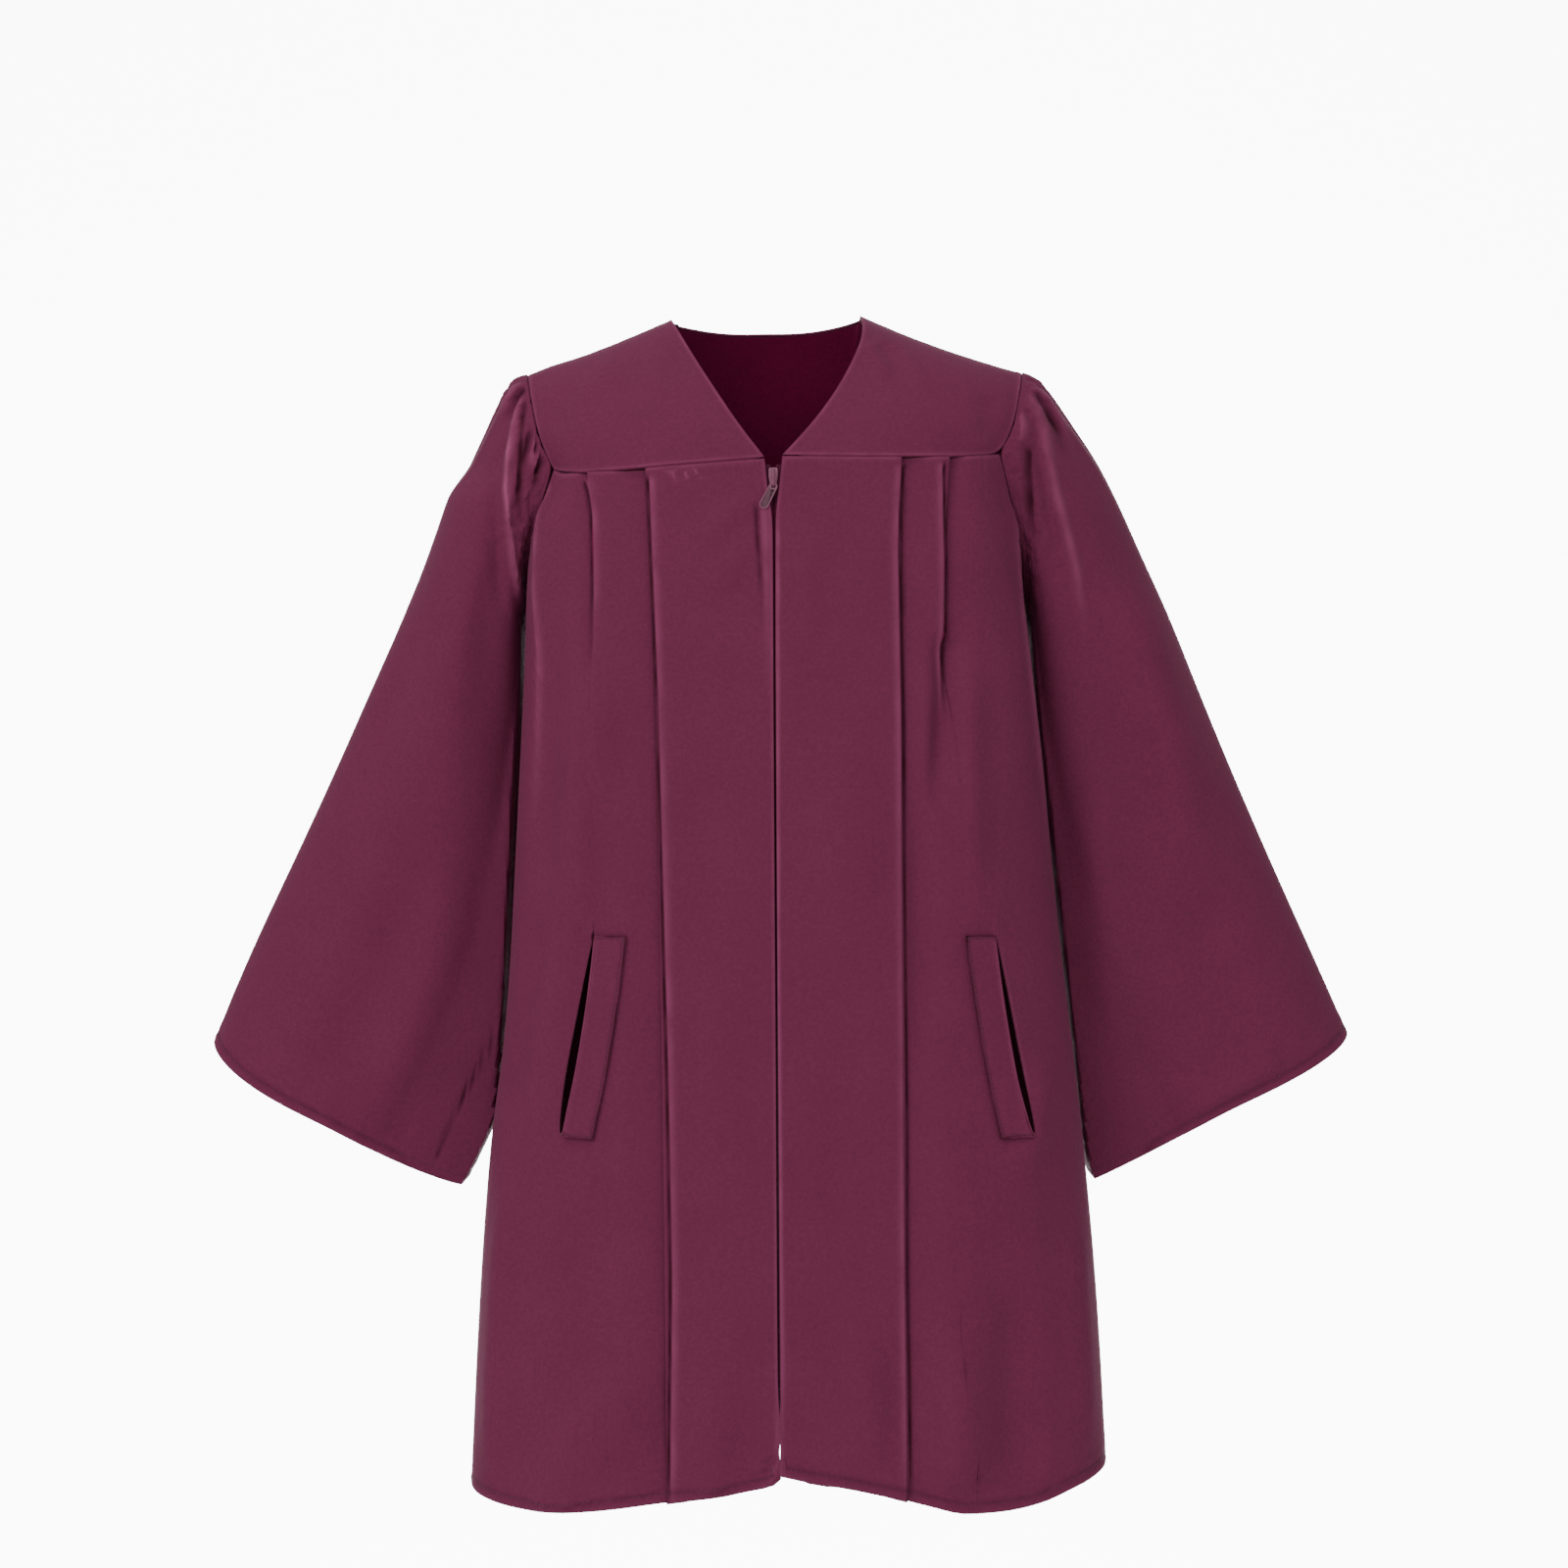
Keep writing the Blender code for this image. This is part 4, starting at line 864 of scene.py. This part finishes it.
made = outer_skin("back_panel")
finer_rim(made, rim(made), 4)
hem = rim(made, lambda place: place.z < BACK_HEM_CUT)
cut_far = far_from(rim(made))
sewn_far = far_from(rim(made, lambda place: place.z > BACK_HEM_TOP or abs(place.x) > BACK_SIDE))
hem_far = far_from(hem)
free = clear_of(sewn_far)
push_creases(made, BACK_CREASES, body_away, lambda place: free(place) if place.y > 0 else 0.0)
pucker(made, sewn_far, body_away, *SEAM_PUCKER)
hem_stitches += hem_finish(made, hem, hem_far, cut_far, body_away, 0.0006, 0.006)
turn_in(made, body_away, lambda place: place.z > BACK_HEM_TOP or abs(place.x) > SIDE_SEAM)
finish_cloth(
    made, "back_panel", round_body, lambda place: place.z,
    (0.460, 0.545), 0.218,
)
sew("hem_stitches", hem_stitches)

# Yokes. Two fronts and one back in the same cloth, joined along the shoulders, that carry
# the gathered sleeves and the pleated panels. The neck edge is turned in and stitched.
YOKE_RIGHT_CREASES = (
    # light fold to the neck
    (0.006, 0.006, 0.00135, 0.3, 0.3,
     ((-0.0651, 0.0177), (-0.0671, 0.0352), (-0.063, 0.0547))),
    # dip by it
    (0.007, 0.007, -0.00135, 0.3, 0.3,
     ((-0.0754, 0.0229), (-0.0784, 0.0383), (-0.0743, 0.0547))),
    # slant fold
    (0.007, 0.008, 0.00165, 0.3, 0.3,
     ((-0.0867, 0.0239), (-0.0969, 0.0383), (-0.1082, 0.0537))),
    # dip at the armhole
    (0.008, 0.006, -0.0015, 0.3, 0.3,
     ((-0.1103, 0.0383), (-0.1175, 0.0516), (-0.1185, 0.067))),
)

YOKE_LEFT_CREASES = (
    # fold from the neck point
    (0.004, 0.005, 0.00135, 0.2, 0.4,
     ((0.0469, 0.0157), (0.053, 0.027), (0.0612, 0.0414))),
    # dip beside it
    (0.005, 0.005, -0.0012, 0.2, 0.4,
     ((0.0541, 0.0157), (0.0612, 0.027), (0.0695, 0.0424))),
    # second fold
    (0.006, 0.006, 0.00105, 0.3, 0.4,
     ((0.0643, 0.0198), (0.0725, 0.0331), (0.0808, 0.0496))),
    # dip at the armhole
    (0.006, 0.007, -0.00135, 0.3, 0.3,
     ((0.1105, 0.0434), (0.1126, 0.0578), (0.1105, 0.0732))),
)

BACK_YOKE_CREASES = (
    (0.008, 0.009, 0.0011, 0.3, 0.3, ((-0.060, 0.03), (-0.070, 0.05), (-0.078, 0.08))),
    (0.008, 0.008, -0.0010, 0.3, 0.3, ((-0.036, 0.04), (-0.040, 0.06), (-0.046, 0.09))),
    (0.008, 0.009, 0.0010, 0.3, 0.3, ((0.052, 0.03), (0.064, 0.05), (0.074, 0.08))),
    (0.007, 0.007, -0.0009, 0.3, 0.3, ((0.020, 0.05), (0.024, 0.07), (0.026, 0.09))),
)


def yoke_away(place):
    """Out from the shoulders: level at the yoke's foot and upward at the shoulder line."""
    way = Vector((place.x / 0.14**2, place.y / 0.09**2, 0)) * 0.09
    way.z = max(0.0, 1 - abs(place.y) / 0.08)
    return way.normalized()


YOKE_PIECES = (
    ("front_yoke_right", YOKE_RIGHT_CREASES, (0.131, 0.128), 0.0118),
    ("front_yoke_left", YOKE_LEFT_CREASES, (0.131, 0.125), 0.0115),
    ("back_yoke", BACK_YOKE_CREASES, (0.290, 0.125), 0.0277),
)


NECK_POINT, NECK_TOP_HALF = 0.002, 0.062
NECK_FOOT, NECK_HEIGHT = -0.092, 0.085
BACK_NECK_HALF, BACK_NECK_FOOT = 0.058, -0.045


def at_neck(place):
    """True on the turned neck edge, which isn't sewn to a neighbour."""
    if place.y < 0:
        share = kept_in((place.z - NECK_FOOT) / NECK_HEIGHT)
        return abs(place.x) < NECK_POINT + NECK_TOP_HALF * share
    return abs(place.x) < BACK_NECK_HALF and place.z > BACK_NECK_FOOT


for node, rows, flat, area in YOKE_PIECES:
    made = outer_skin(node, 3)
    finer_rim(made, rim(made), 2)
    cut_far = far_from(rim(made))
    sewn_far = far_from(rim(made, lambda place: not at_neck(place)))
    push_creases(made, rows, yoke_away, clear_of(sewn_far, 0.004))
    pucker(made, sewn_far, yoke_away, 0.0004, 0.004, 0.007)
    # A painted highlight along the yoke's cut edges.
    line_beside(made, cut_far, yoke_away, 0.0008, 0.0008, 0.0, 0.28)
    turn_in(made, None, lambda place: not at_neck(place))
    finish_cloth(made, node, lambda place: place.x, lambda place: place.z - place.y, flat, area)

# Sleeves. Bell sleeves cut in one piece with an underarm seam, gathered into the armhole at
# the cap, and left wide and open at the cuff under a narrow stitched hem.
SLEEVE_DEPTH = 0.045
SLEEVE_MIDDLE = 0.017
UNDERARM = 0.12
BODY_GAP, BODY_RAMP = 0.0004, 0.003
CUFF_TOP, CAP_FOOT = -0.30, -0.20
SLEEVE_RIGHT_CREASES = (
    # long fold from the gathers
    (0.0016, 0.003, 0.00203, 0.1, 0.12,
     ((-0.1388, 0.0411), (-0.1425, 0.055), (-0.1463, 0.0752), (-0.1479, 0.0954),
      (-0.1468, 0.1167), (-0.1441, 0.138), (-0.1399, 0.155), (-0.1356, 0.1699))),
    # groove outside it
    (0.0048, 0.0024, -0.00189, 0.14, 0.3,
     ((-0.1425, 0.0411), (-0.1473, 0.0582), (-0.151, 0.0794), (-0.1526, 0.1007),
      (-0.1521, 0.1273), (-0.1495, 0.1539), (-0.1441, 0.1805))),
    # deep groove at the seam
    (0.0018, 0.0018, -0.00176, 0.2, 0.3,
     ((-0.1319, 0.0592), (-0.1351, 0.0699), (-0.1383, 0.0826), (-0.1404, 0.0981),
      (-0.1399, 0.1193))),
    # small gather
    (0.0015, 0.0015, 0.00149, 0.2, 0.4,
     ((-0.1298, 0.0656), (-0.1324, 0.0752), (-0.1346, 0.088))),
    # lower gather
    (0.0016, 0.0016, -0.00135, 0.2, 0.4,
     ((-0.1266, 0.0752), (-0.1298, 0.0858), (-0.1319, 0.0997))),
    # upper gather groove
    (0.0024, 0.002, -0.00216, 0.2, 0.5,
     ((-0.1377, 0.0379), (-0.1431, 0.0454), (-0.1495, 0.0582))),
    # light edge of the long fold
    (0.001, 0.0014, 0.00081, 0.1, 0.25,
     ((-0.1393, 0.0401), (-0.1415, 0.0507), (-0.1457, 0.0624), (-0.1468, 0.0768),
      (-0.1479, 0.0954), (-0.1468, 0.1103), (-0.1441, 0.1252), (-0.1415, 0.1433),
      (-0.1383, 0.1582))),
    # inner side of the long fold
    (0.0013, 0.0013, -0.00122, 0.15, 0.3,
     ((-0.1367, 0.0433), (-0.1388, 0.0571), (-0.1393, 0.0731), (-0.1399, 0.088),
      (-0.1393, 0.106))),
    # first small gather
    (0.0013, 0.0013, 0.00162, 0.15, 0.3,
     ((-0.1292, 0.0614), (-0.1324, 0.0677), (-0.1346, 0.0752), (-0.1346, 0.0837))),
    # dark fold by it
    (0.0012, 0.0012, -0.00176, 0.2, 0.3,
     ((-0.1287, 0.0656), (-0.1308, 0.072), (-0.1324, 0.0794))),
    # second small gather
    (0.0013, 0.0013, 0.00149, 0.15, 0.4,
     ((-0.1271, 0.0699), (-0.1298, 0.0762), (-0.1314, 0.0826), (-0.1324, 0.0922))),
    # dark fold at the corner
    (0.0014, 0.0014, -0.00189, 0.1, 0.3,
     ((-0.1244, 0.0784), (-0.1276, 0.0837), (-0.1303, 0.089))),
    # shoulder gather
    (0.0024, 0.0026, 0.00189, 0.2, 0.5,
     ((-0.1399, 0.0348), (-0.1473, 0.0433), (-0.1537, 0.056))),
    # main swell
    (0.02, 0.016, 0.0075, 0.12, 0.8,
     ((-0.1612, 0.0794), (-0.1691, 0.1273), (-0.175, 0.1699), (-0.1856, 0.2337),
      (-0.1995, 0.2869))),
    # inner hollow
    (0.014, 0.012, -0.00225, 0.25, 0.5,
     ((-0.1553, 0.106), (-0.1564, 0.1592), (-0.1537, 0.2071), (-0.1505, 0.255),
      (-0.1484, 0.2869))),
    # lower hollow
    (0.02, 0.022, -0.00325, 0.3, 0.2,
     ((-0.1888, 0.2869), (-0.208, 0.3401), (-0.2303, 0.388), (-0.2473, 0.4199))),
    # lower swell
    (0.015, 0.018, 0.0035, 0.3, 0.2,
     ((-0.1729, 0.2976), (-0.1824, 0.3401), (-0.1995, 0.388), (-0.2144, 0.4306))),
    # underarm fold line
    (0.0008, 0.001, -0.00081, 0.15, 0.1,
     ((-0.151, 0.388), (-0.1612, 0.405), (-0.1707, 0.422), (-0.1803, 0.4423), (-0.1878, 0.4614))),
    # cuff ripple
    (0.005, 0.005, 0.002, 0.3, 0.3,
     ((-0.2633, 0.4093), (-0.2394, 0.421), (-0.2128, 0.4316), (-0.1968, 0.4369))),
    # cuff dip
    (0.005, 0.005, -0.002, 0.3, 0.3,
     ((-0.258, 0.4008), (-0.2356, 0.4103), (-0.2101, 0.421))),
    # outer edge hollow
    (0.01, 0.01, -0.0035, 0.3, 0.3,
     ((-0.1909, 0.1592), (-0.2101, 0.2124), (-0.2303, 0.2603))),
)

SLEEVE_LEFT_CREASES = (
    # long fold from the gathers
    (0.0032, 0.0026, 0.00243, 0.08, 0.35,
     ((0.1357, 0.0411), (0.14, 0.0475), (0.1437, 0.0635), (0.1474, 0.0848), (0.1517, 0.1039),
      (0.1564, 0.122), (0.1612, 0.1406), (0.1644, 0.1619), (0.1655, 0.1858))),
    # hollow inside it
    (0.004, 0.0045, -0.00216, 0.2, 0.4,
     ((0.1346, 0.0528), (0.1378, 0.0688), (0.141, 0.0901), (0.1453, 0.1114), (0.1495, 0.1326),
      (0.1538, 0.1592))),
    # second gather
    (0.0024, 0.0024, 0.00189, 0.2, 0.5,
     ((0.1368, 0.0379), (0.1453, 0.0443), (0.1538, 0.0582), (0.1602, 0.0752))),
    # groove beside it
    (0.0024, 0.0024, -0.00189, 0.2, 0.5,
     ((0.1368, 0.0406), (0.1442, 0.0486), (0.1517, 0.0635), (0.157, 0.0816))),
    # puff at the seam
    (0.0018, 0.0022, 0.00256, 0.25, 0.25,
     ((0.1309, 0.0528), (0.1325, 0.0624), (0.1304, 0.072))),
    # deep fold under the puff
    (0.0022, 0.0022, -0.00297, 0.2, 0.4,
     ((0.1336, 0.0699), (0.1336, 0.0848), (0.1346, 0.106), (0.1378, 0.1326))),
    # outer swell
    (0.014, 0.016, 0.0075, 0.35, 0.4,
     ((0.1825, 0.1273), (0.1953, 0.1699), (0.2081, 0.2178), (0.2208, 0.2656), (0.2357, 0.3135))),
    # middle hollow
    (0.015, 0.015, -0.0025, 0.35, 0.4,
     ((0.1719, 0.1699), (0.1815, 0.2231), (0.1889, 0.2816), (0.1974, 0.3348), (0.2081, 0.3827))),
    # inner swell
    (0.012, 0.014, 0.0055, 0.35, 0.4,
     ((0.1655, 0.2337), (0.1729, 0.2976), (0.1815, 0.3614), (0.1889, 0.4093))),
    # lower hollow
    (0.018, 0.018, -0.0035, 0.3, 0.2,
     ((0.2208, 0.3082), (0.2336, 0.3508), (0.2421, 0.388))),
    # cuff ripple
    (0.005, 0.005, 0.0025, 0.3, 0.3,
     ((0.2102, 0.4391), (0.2368, 0.4252), (0.2634, 0.4103), (0.2793, 0.3986))),
    # cuff dip
    (0.005, 0.005, -0.0025, 0.3, 0.3,
     ((0.2134, 0.4284), (0.2368, 0.4146), (0.2613, 0.4008))),
)

# Across is metres out from the gown's middle, the same for both sleeves.
SLEEVE_BACK_CREASES = (
    (0.0022, 0.0026, 0.0020, 0.1, 0.4,
     ((0.134, 0.050), (0.140, 0.066), (0.146, 0.090), (0.150, 0.120))),
    (0.0022, 0.0022, -0.0020, 0.1, 0.5, ((0.132, 0.056), (0.137, 0.074), (0.141, 0.098))),
    (0.0026, 0.0030, 0.0022, 0.1, 0.5,
     ((0.134, 0.066), (0.138, 0.090), (0.143, 0.124), (0.148, 0.170))),
    (0.0024, 0.0026, -0.0018, 0.1, 0.5, ((0.130, 0.076), (0.134, 0.104), (0.139, 0.140))),
    (0.0024, 0.0024, 0.0018, 0.1, 0.5, ((0.130, 0.086), (0.133, 0.110), (0.136, 0.140))),
    (0.0030, 0.0034, -0.0018, 0.1, 0.5, ((0.140, 0.044), (0.150, 0.066), (0.158, 0.100))),
    (0.010, 0.012, 0.0036, 0.35, 0.4,
     ((0.160, 0.130), (0.182, 0.200), (0.206, 0.280), (0.232, 0.360))),
    (0.010, 0.010, -0.0034, 0.35, 0.4,
     ((0.154, 0.170), (0.170, 0.250), (0.186, 0.330), (0.200, 0.400))),
    (0.010, 0.012, 0.0026, 0.35, 0.3,
     ((0.160, 0.270), (0.172, 0.340), (0.182, 0.410), (0.190, 0.450))),
    (0.010, 0.012, -0.0028, 0.35, 0.4, ((0.190, 0.160), (0.220, 0.240), (0.252, 0.330))),
    (0.006, 0.006, 0.0010, 0.3, 0.3, ((0.210, 0.430), (0.240, 0.415), (0.270, 0.395))),
)


def sleeve_centre(drop):
    """How far out the sleeve's middle line lies."""
    return 0.130 + 0.262 * (drop - 0.02)


def sleeve_half(drop):
    """Half the sleeve's width, which grows down to the bell cuff."""
    return 0.022 + 0.150 * max(0.0, drop - 0.05)


def sleeve_away(place):
    """Out from the sleeve's own middle line."""
    side = 1 if place.x > 0 else -1
    out = (abs(place.x) - sleeve_centre(-place.z)) / sleeve_half(-place.z)**2
    way = Vector((side * out, (place.y - SLEEVE_MIDDLE) / SLEEVE_DEPTH**2, 0))
    return way.normalized()


def before(place):
    """1 on the front of a sleeve, 0 on its back."""
    return kept_in(0.5 - (place.y - SLEEVE_MIDDLE) / 0.02)


def round_sleeve(place):
    """Metres round the sleeve from the middle of its front."""
    way = sleeve_away(place)
    return math.atan2(way.x, -way.y) * (0.04 + 0.10 * max(0.0, -place.z - 0.05))


def body_side(place):
    """How far out the body's own side reaches beside a place on the sleeve."""
    if place.x < 0:
        return 0.1367 + 0.0504 * (-place.z - 0.15)
    return 0.1326 + 0.1040 * (-place.z - 0.15)


def fill_inner_front(made):
    """The sleeve's front hangs flat up to where it passes behind the body's side."""
    for point in made.verts:
        drop = -point.co.z
        if point.co.y > SLEEVE_MIDDLE or drop < UNDERARM:
            continue
        out = (abs(point.co.x) - sleeve_centre(drop)) / sleeve_half(drop)
        if out < 0:
            flat = SLEEVE_MIDDLE - SLEEVE_DEPTH * (1 - 0.06 * out * out)
            clear = kept_in((abs(point.co.x) - body_side(point.co) - BODY_GAP) / BODY_RAMP)
            felt = eased(clear) * min(1.0, (drop - UNDERARM) / 0.10)
            point.co.y += min(0.0, flat - point.co.y) * felt


SLEEVE_PIECES = (
    ("right", SLEEVE_RIGHT_CREASES, (0.450, 0.462), 0.1330),
    ("left", SLEEVE_LEFT_CREASES, (0.445, 0.462), 0.1320),
)
for side, rows, flat, area in SLEEVE_PIECES:
    made = outer_skin("sleeve_" + side)
    cap = [face for face in made.faces if face.calc_center_median().z > CAP_FOOT]
    edges = list({edge for face in cap for edge in face.edges})
    bmesh.ops.subdivide_edges(made, edges=edges, cuts=1, use_grid_fill=True, smooth=0.0)
    finer_rim(made, rim(made, lambda place: place.z < CUFF_TOP), 4)
    finer_rim(made, rim(made, lambda place: place.z > CAP_FOOT), 2)
    cuff = rim(made, lambda place: place.z < CUFF_TOP)
    cuff_far = far_from(cuff)
    armhole_far = far_from(rim(made, lambda place: place.z > CAP_FOOT))
    free = clear_of(armhole_far)
    fill_inner_front(made)
    push_creases(made, rows, sleeve_away, lambda place: before(place) * free(place))
    push_creases(
        made, SLEEVE_BACK_CREASES, sleeve_away,
        lambda place: (1 - before(place)) * free(place),
        lambda place: abs(place.x),
    )
    pucker(made, armhole_far, sleeve_away, 0.0014, 0.006, 0.0045)
    cuff_stitches = hem_finish(made, cuff, cuff_far, cuff_far, sleeve_away, 0.0007, 0.008)
    turn_in(made, None, lambda place: place.z > CAP_FOOT)
    finish_cloth(
        made, "sleeve_" + side, round_sleeve, lambda place: place.z,
        flat, area,
    )
    sew("cuff_stitches_" + side, cuff_stitches)

# Pocket welts. A folded strip of the same cloth sewn beside each slanted slit, stitched down
# on its long side and across both ends. It follows the folds of the panel under it.
WELT_LINE = 0.0016


def by_slit(edge):
    """True on the welt's folded side, which lies along the open slit."""
    middle = (edge.verts[0].co + edge.verts[1].co) / 2
    out = middle - edge.link_faces[0].calc_center_median()
    return out.x * middle.x > 0 and abs(out.x) > 2 * abs(out.z)


for side, creases in (("right", FRONT_RIGHT_CREASES), ("left", FRONT_LEFT_CREASES)):
    made = outer_skin("pocket_welt_" + side)
    finer_rim(made, rim(made), 2)
    cut_far = far_from(rim(made))
    inner = [edge for edge in rim(made) if not by_slit(edge)]
    inner_far = far_from(inner)
    push_creases(made, creases, body_away)
    # A painted highlight along the welt's cut edges, a painted shadow round its inner edges where
    # it sits on the panel, and painted shade in its sunk stitch line.
    line_beside(made, cut_far, body_away, 0.0008, 0.0007, 0.0, 0.30)
    line_beside(made, inner_far, body_away, 0.0, 0.0007, 0.0, -1.3)
    line_beside(made, inner_far, body_away, WELT_LINE, 0.0006, 0.0003, -0.45)
    welt_stitches = lockstitches(made, inner, WELT_LINE, body_away)
    turn_in(made, body_away)
    piece = finish_cloth(
        made, "pocket_welt_" + side, round_body, lambda place: place.z,
        (0.017, 0.107), 0.0018,
    )
    sew("welt_stitches_" + side, welt_stitches)

# Zip. Two woven tapes behind the front edges with a nylon coil that locks between them, from
# the V down to just above the hem. It is closed, so the coil shows as a dark line.
TAPE_CLOTH = 0.0006
COIL_PITCH = 0.0012
COIL_TOOTH = (0.0030, 0.00075, 0.0008)
COIL_TOP, COIL_SIDE = -0.0995, 0.004
COIL_SWAY, COIL_SUNK = 0.0007, 0.0004

tape_weave = cloth_material("tape_weave", (0.060, 0.0050, 0.022, 1))
coil_nylon = nylon(
    "coil_nylon", 0.42, 260, (0.036, 0.0024, 0.012, 1), (0.052, 0.0040, 0.019, 1)
)[0]

for side, creases in (("right", FRONT_RIGHT_CREASES), ("left", FRONT_LEFT_CREASES)):
    made = outer_skin("zip_tape_" + side)
    push_creases(made, creases, body_away)
    if side == "right":
        made.verts.index_update()
        inner_runs = runs_of(rim(made, lambda place: abs(place.x) < COIL_SIDE))
        coil_line = [spot for spot, way in max(inner_runs, key=len)]
    turn_in(made, body_away)
    lay_threads(made, lambda place: place.x, lambda place: place.z)
    tape = as_piece(made, "zip_tape_" + side + "_weave", tape_weave)
    give_wall(tape, TAPE_CLOTH)
    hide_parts("zip_tape_" + side)
    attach(tape, "gown")

made = bmesh.new()
if coil_line[0].z < coil_line[-1].z:
    coil_line.reverse()
spare = 0.0
tooth = 0
for a, b in zip(coil_line, coil_line[1:]):
    long = (b - a).length
    if long == 0:
        continue
    along = (b - a).normalized()
    while spare < long:
        spot = a.lerp(b, spare / long)
        if spot.z < COIL_TOP:
            up = body_away(spot)
            side = up.cross(along).normalized()
            sway = COIL_SWAY if tooth % 2 else -COIL_SWAY
            spot = Vector((sway, spot.y, spot.z)) - up * COIL_SUNK
            bead(made, spot, (side, along, up), COIL_TOOTH)
        tooth += 1
        spare += COIL_PITCH / 2
    spare -= long
coil = as_piece(made, "zip_coil", coil_nylon)
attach(coil, "gown")

# Slider and pull tab. Die-cast and enamelled in the gown's plum, with every edge rounded. The
# tab hangs by its eye from the slider's bridge and leans a little to the wearer's right.
RIM_WIDTH = 0.00062
RIM_DEPTH = 0.00022


def painted_metal(name, low, high):
    """Enamel with a fine uneven cast between two colours."""
    material, tree, shader = new_material(name, 0.4)
    shader.inputs["Coat Weight"].default_value = 0.15
    shader.inputs["Coat Roughness"].default_value = 0.25
    cast = object_noise(tree, 420, 4)
    tree.links.new(dye_mix(tree, cast, low, high), shader.inputs["Base Color"])
    gloss = tree.nodes.new("ShaderNodeMapRange")
    gloss.inputs["To Min"].default_value = 0.34
    gloss.inputs["To Max"].default_value = 0.52
    tree.links.new(cast, gloss.inputs["Value"])
    tree.links.new(gloss.outputs["Result"], shader.inputs["Roughness"])
    peel = relief(tree, cast, 0.15, 0.0001)
    tree.links.new(peel.outputs["Normal"], shader.inputs["Normal"])
    return material


enamel = painted_metal("plum_enamel", (0.120, 0.016, 0.048, 1), (0.210, 0.042, 0.100, 1))
# A darker enamel for the tab's recessed faces: painted shade in the recess.
shaded_recess_enamel = painted_metal("plum_enamel_recess_painted_shade", (0.052, 0.0045, 0.018, 1), (0.085, 0.012, 0.036, 1))

for node, body, rounding in (("zip_slider", "gown", 0.00018), ("zip_pull", "zip_pull", 0.00010)):
    made = bmesh.new()
    made.from_mesh(frame["nodes"][node].data)
    bmesh.ops.remove_doubles(made, verts=made.verts, dist=0.00001)
    bmesh.ops.dissolve_limit(
        made, angle_limit=math.radians(2), verts=made.verts[:], edges=made.edges[:]
    )
    if node == "zip_pull":
        made.normal_update()
        largest = max(made.faces, key=lambda face: face.calc_area())
        for way in (largest.normal.copy(), -largest.normal):
            flat_side = [face for face in made.faces if face.normal.dot(way) > 0.99]
            bmesh.ops.inset_region(
                made, faces=flat_side, thickness=RIM_WIDTH, depth=-RIM_DEPTH, use_even_offset=True
            )
            # The recessed faces take the painted-shade enamel.
            for face in flat_side:
                face.material_index = 1
    metal = as_piece(made, node + "_enamelled", enamel, shaded_recess_enamel)
    soft = metal.modifiers.new("soft_edges", "BEVEL")
    soft.width = rounding
    soft.segments = 3
    soft.limit_method = "ANGLE"
    soft.angle_limit = math.radians(25)
    soft.harden_normals = True
    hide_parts(node)
    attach(metal, body)

# Room. A pale floor well under the hem that curves up into a plain wall behind.
FLOOR, FLOOR_FRONT = -1.20, -0.8
ROOM_HALF = 1.25
WALL_FOOT, WALL_CURVE, WALL_RISE = 2.0, 1.2, 1.2
FLOOR_SHARE, CURVE_SHARE = 0.6, 0.25
WALL_GLOW = 9.0

made = bmesh.new()
bmesh.ops.create_grid(made, x_segments=2, y_segments=40, size=1)
for point in made.verts:
    run = (point.co.y + 1) / 2
    x = point.co.x * ROOM_HALF
    if run < FLOOR_SHARE:
        point.co = (x, FLOOR_FRONT + run / FLOOR_SHARE * (WALL_FOOT - FLOOR_FRONT), FLOOR)
    else:
        turn = min(1.0, (run - FLOOR_SHARE) / CURVE_SHARE) * math.pi / 2
        back, up = WALL_CURVE * math.sin(turn), WALL_CURVE * (1 - math.cos(turn))
        point.co = (x, WALL_FOOT + back, FLOOR + up)
        wall_share = (run - FLOOR_SHARE - CURVE_SHARE) / (1 - FLOOR_SHARE - CURVE_SHARE)
        point.co.z += max(0.0, wall_share) * WALL_RISE
paper, tree, shader = new_material("paper", 0.9)
shader.inputs["Base Color"].default_value = (0.95, 0.95, 0.95, 1)
glow = paper.copy()
glow.name = "lit_paper"
shader = glow.node_tree.nodes["Principled BSDF"]
shader.inputs["Emission Color"].default_value = (1, 1, 1, 1)
shader.inputs["Emission Strength"].default_value = WALL_GLOW
room = as_piece(made, "room", paper, glow)
for face in room.data.polygons:
    if face.center.y > WALL_FOOT:
        face.material_index = 1

# Light. A broad soft light from the left in front, a weak one behind the camera, one over the
# shoulders and one on the back. The wall glows a little, so it stays white all over.
world = bpy.data.worlds.new("studio")
world.use_nodes = True
world.node_tree.nodes["Background"].inputs["Color"].default_value = (1, 1, 1, 1)
world.node_tree.nodes["Background"].inputs["Strength"].default_value = 0.75
bpy.context.scene.world = world
LIGHTS = (
    ("key", (-2.1, -2.6, 1.3), (0, 0, -0.2), 2.0, 43),
    ("front", (0.2, -3.3, -0.2), (0, 0, -0.3), 1.0, 11),
    ("top", (-0.5, -1.0, 2.3), (0, 0, -0.1), 1.2, 20),
    ("back", (0, 2.3, 1.15), (0, 0, -0.3), 0.7, 4),
)
for name, place, target, size, power in LIGHTS:
    light = bpy.data.lights.new(name, "AREA")
    light.shape = "DISK"
    light.size = size
    light.energy = power
    lamp = bpy.data.objects.new(name, light)
    lamp.location = place
    aim = Vector(target) - Vector(place)
    lamp.rotation_euler = aim.to_track_quat("-Z", "Y").to_euler()
    bpy.context.scene.collection.objects.link(lamp)
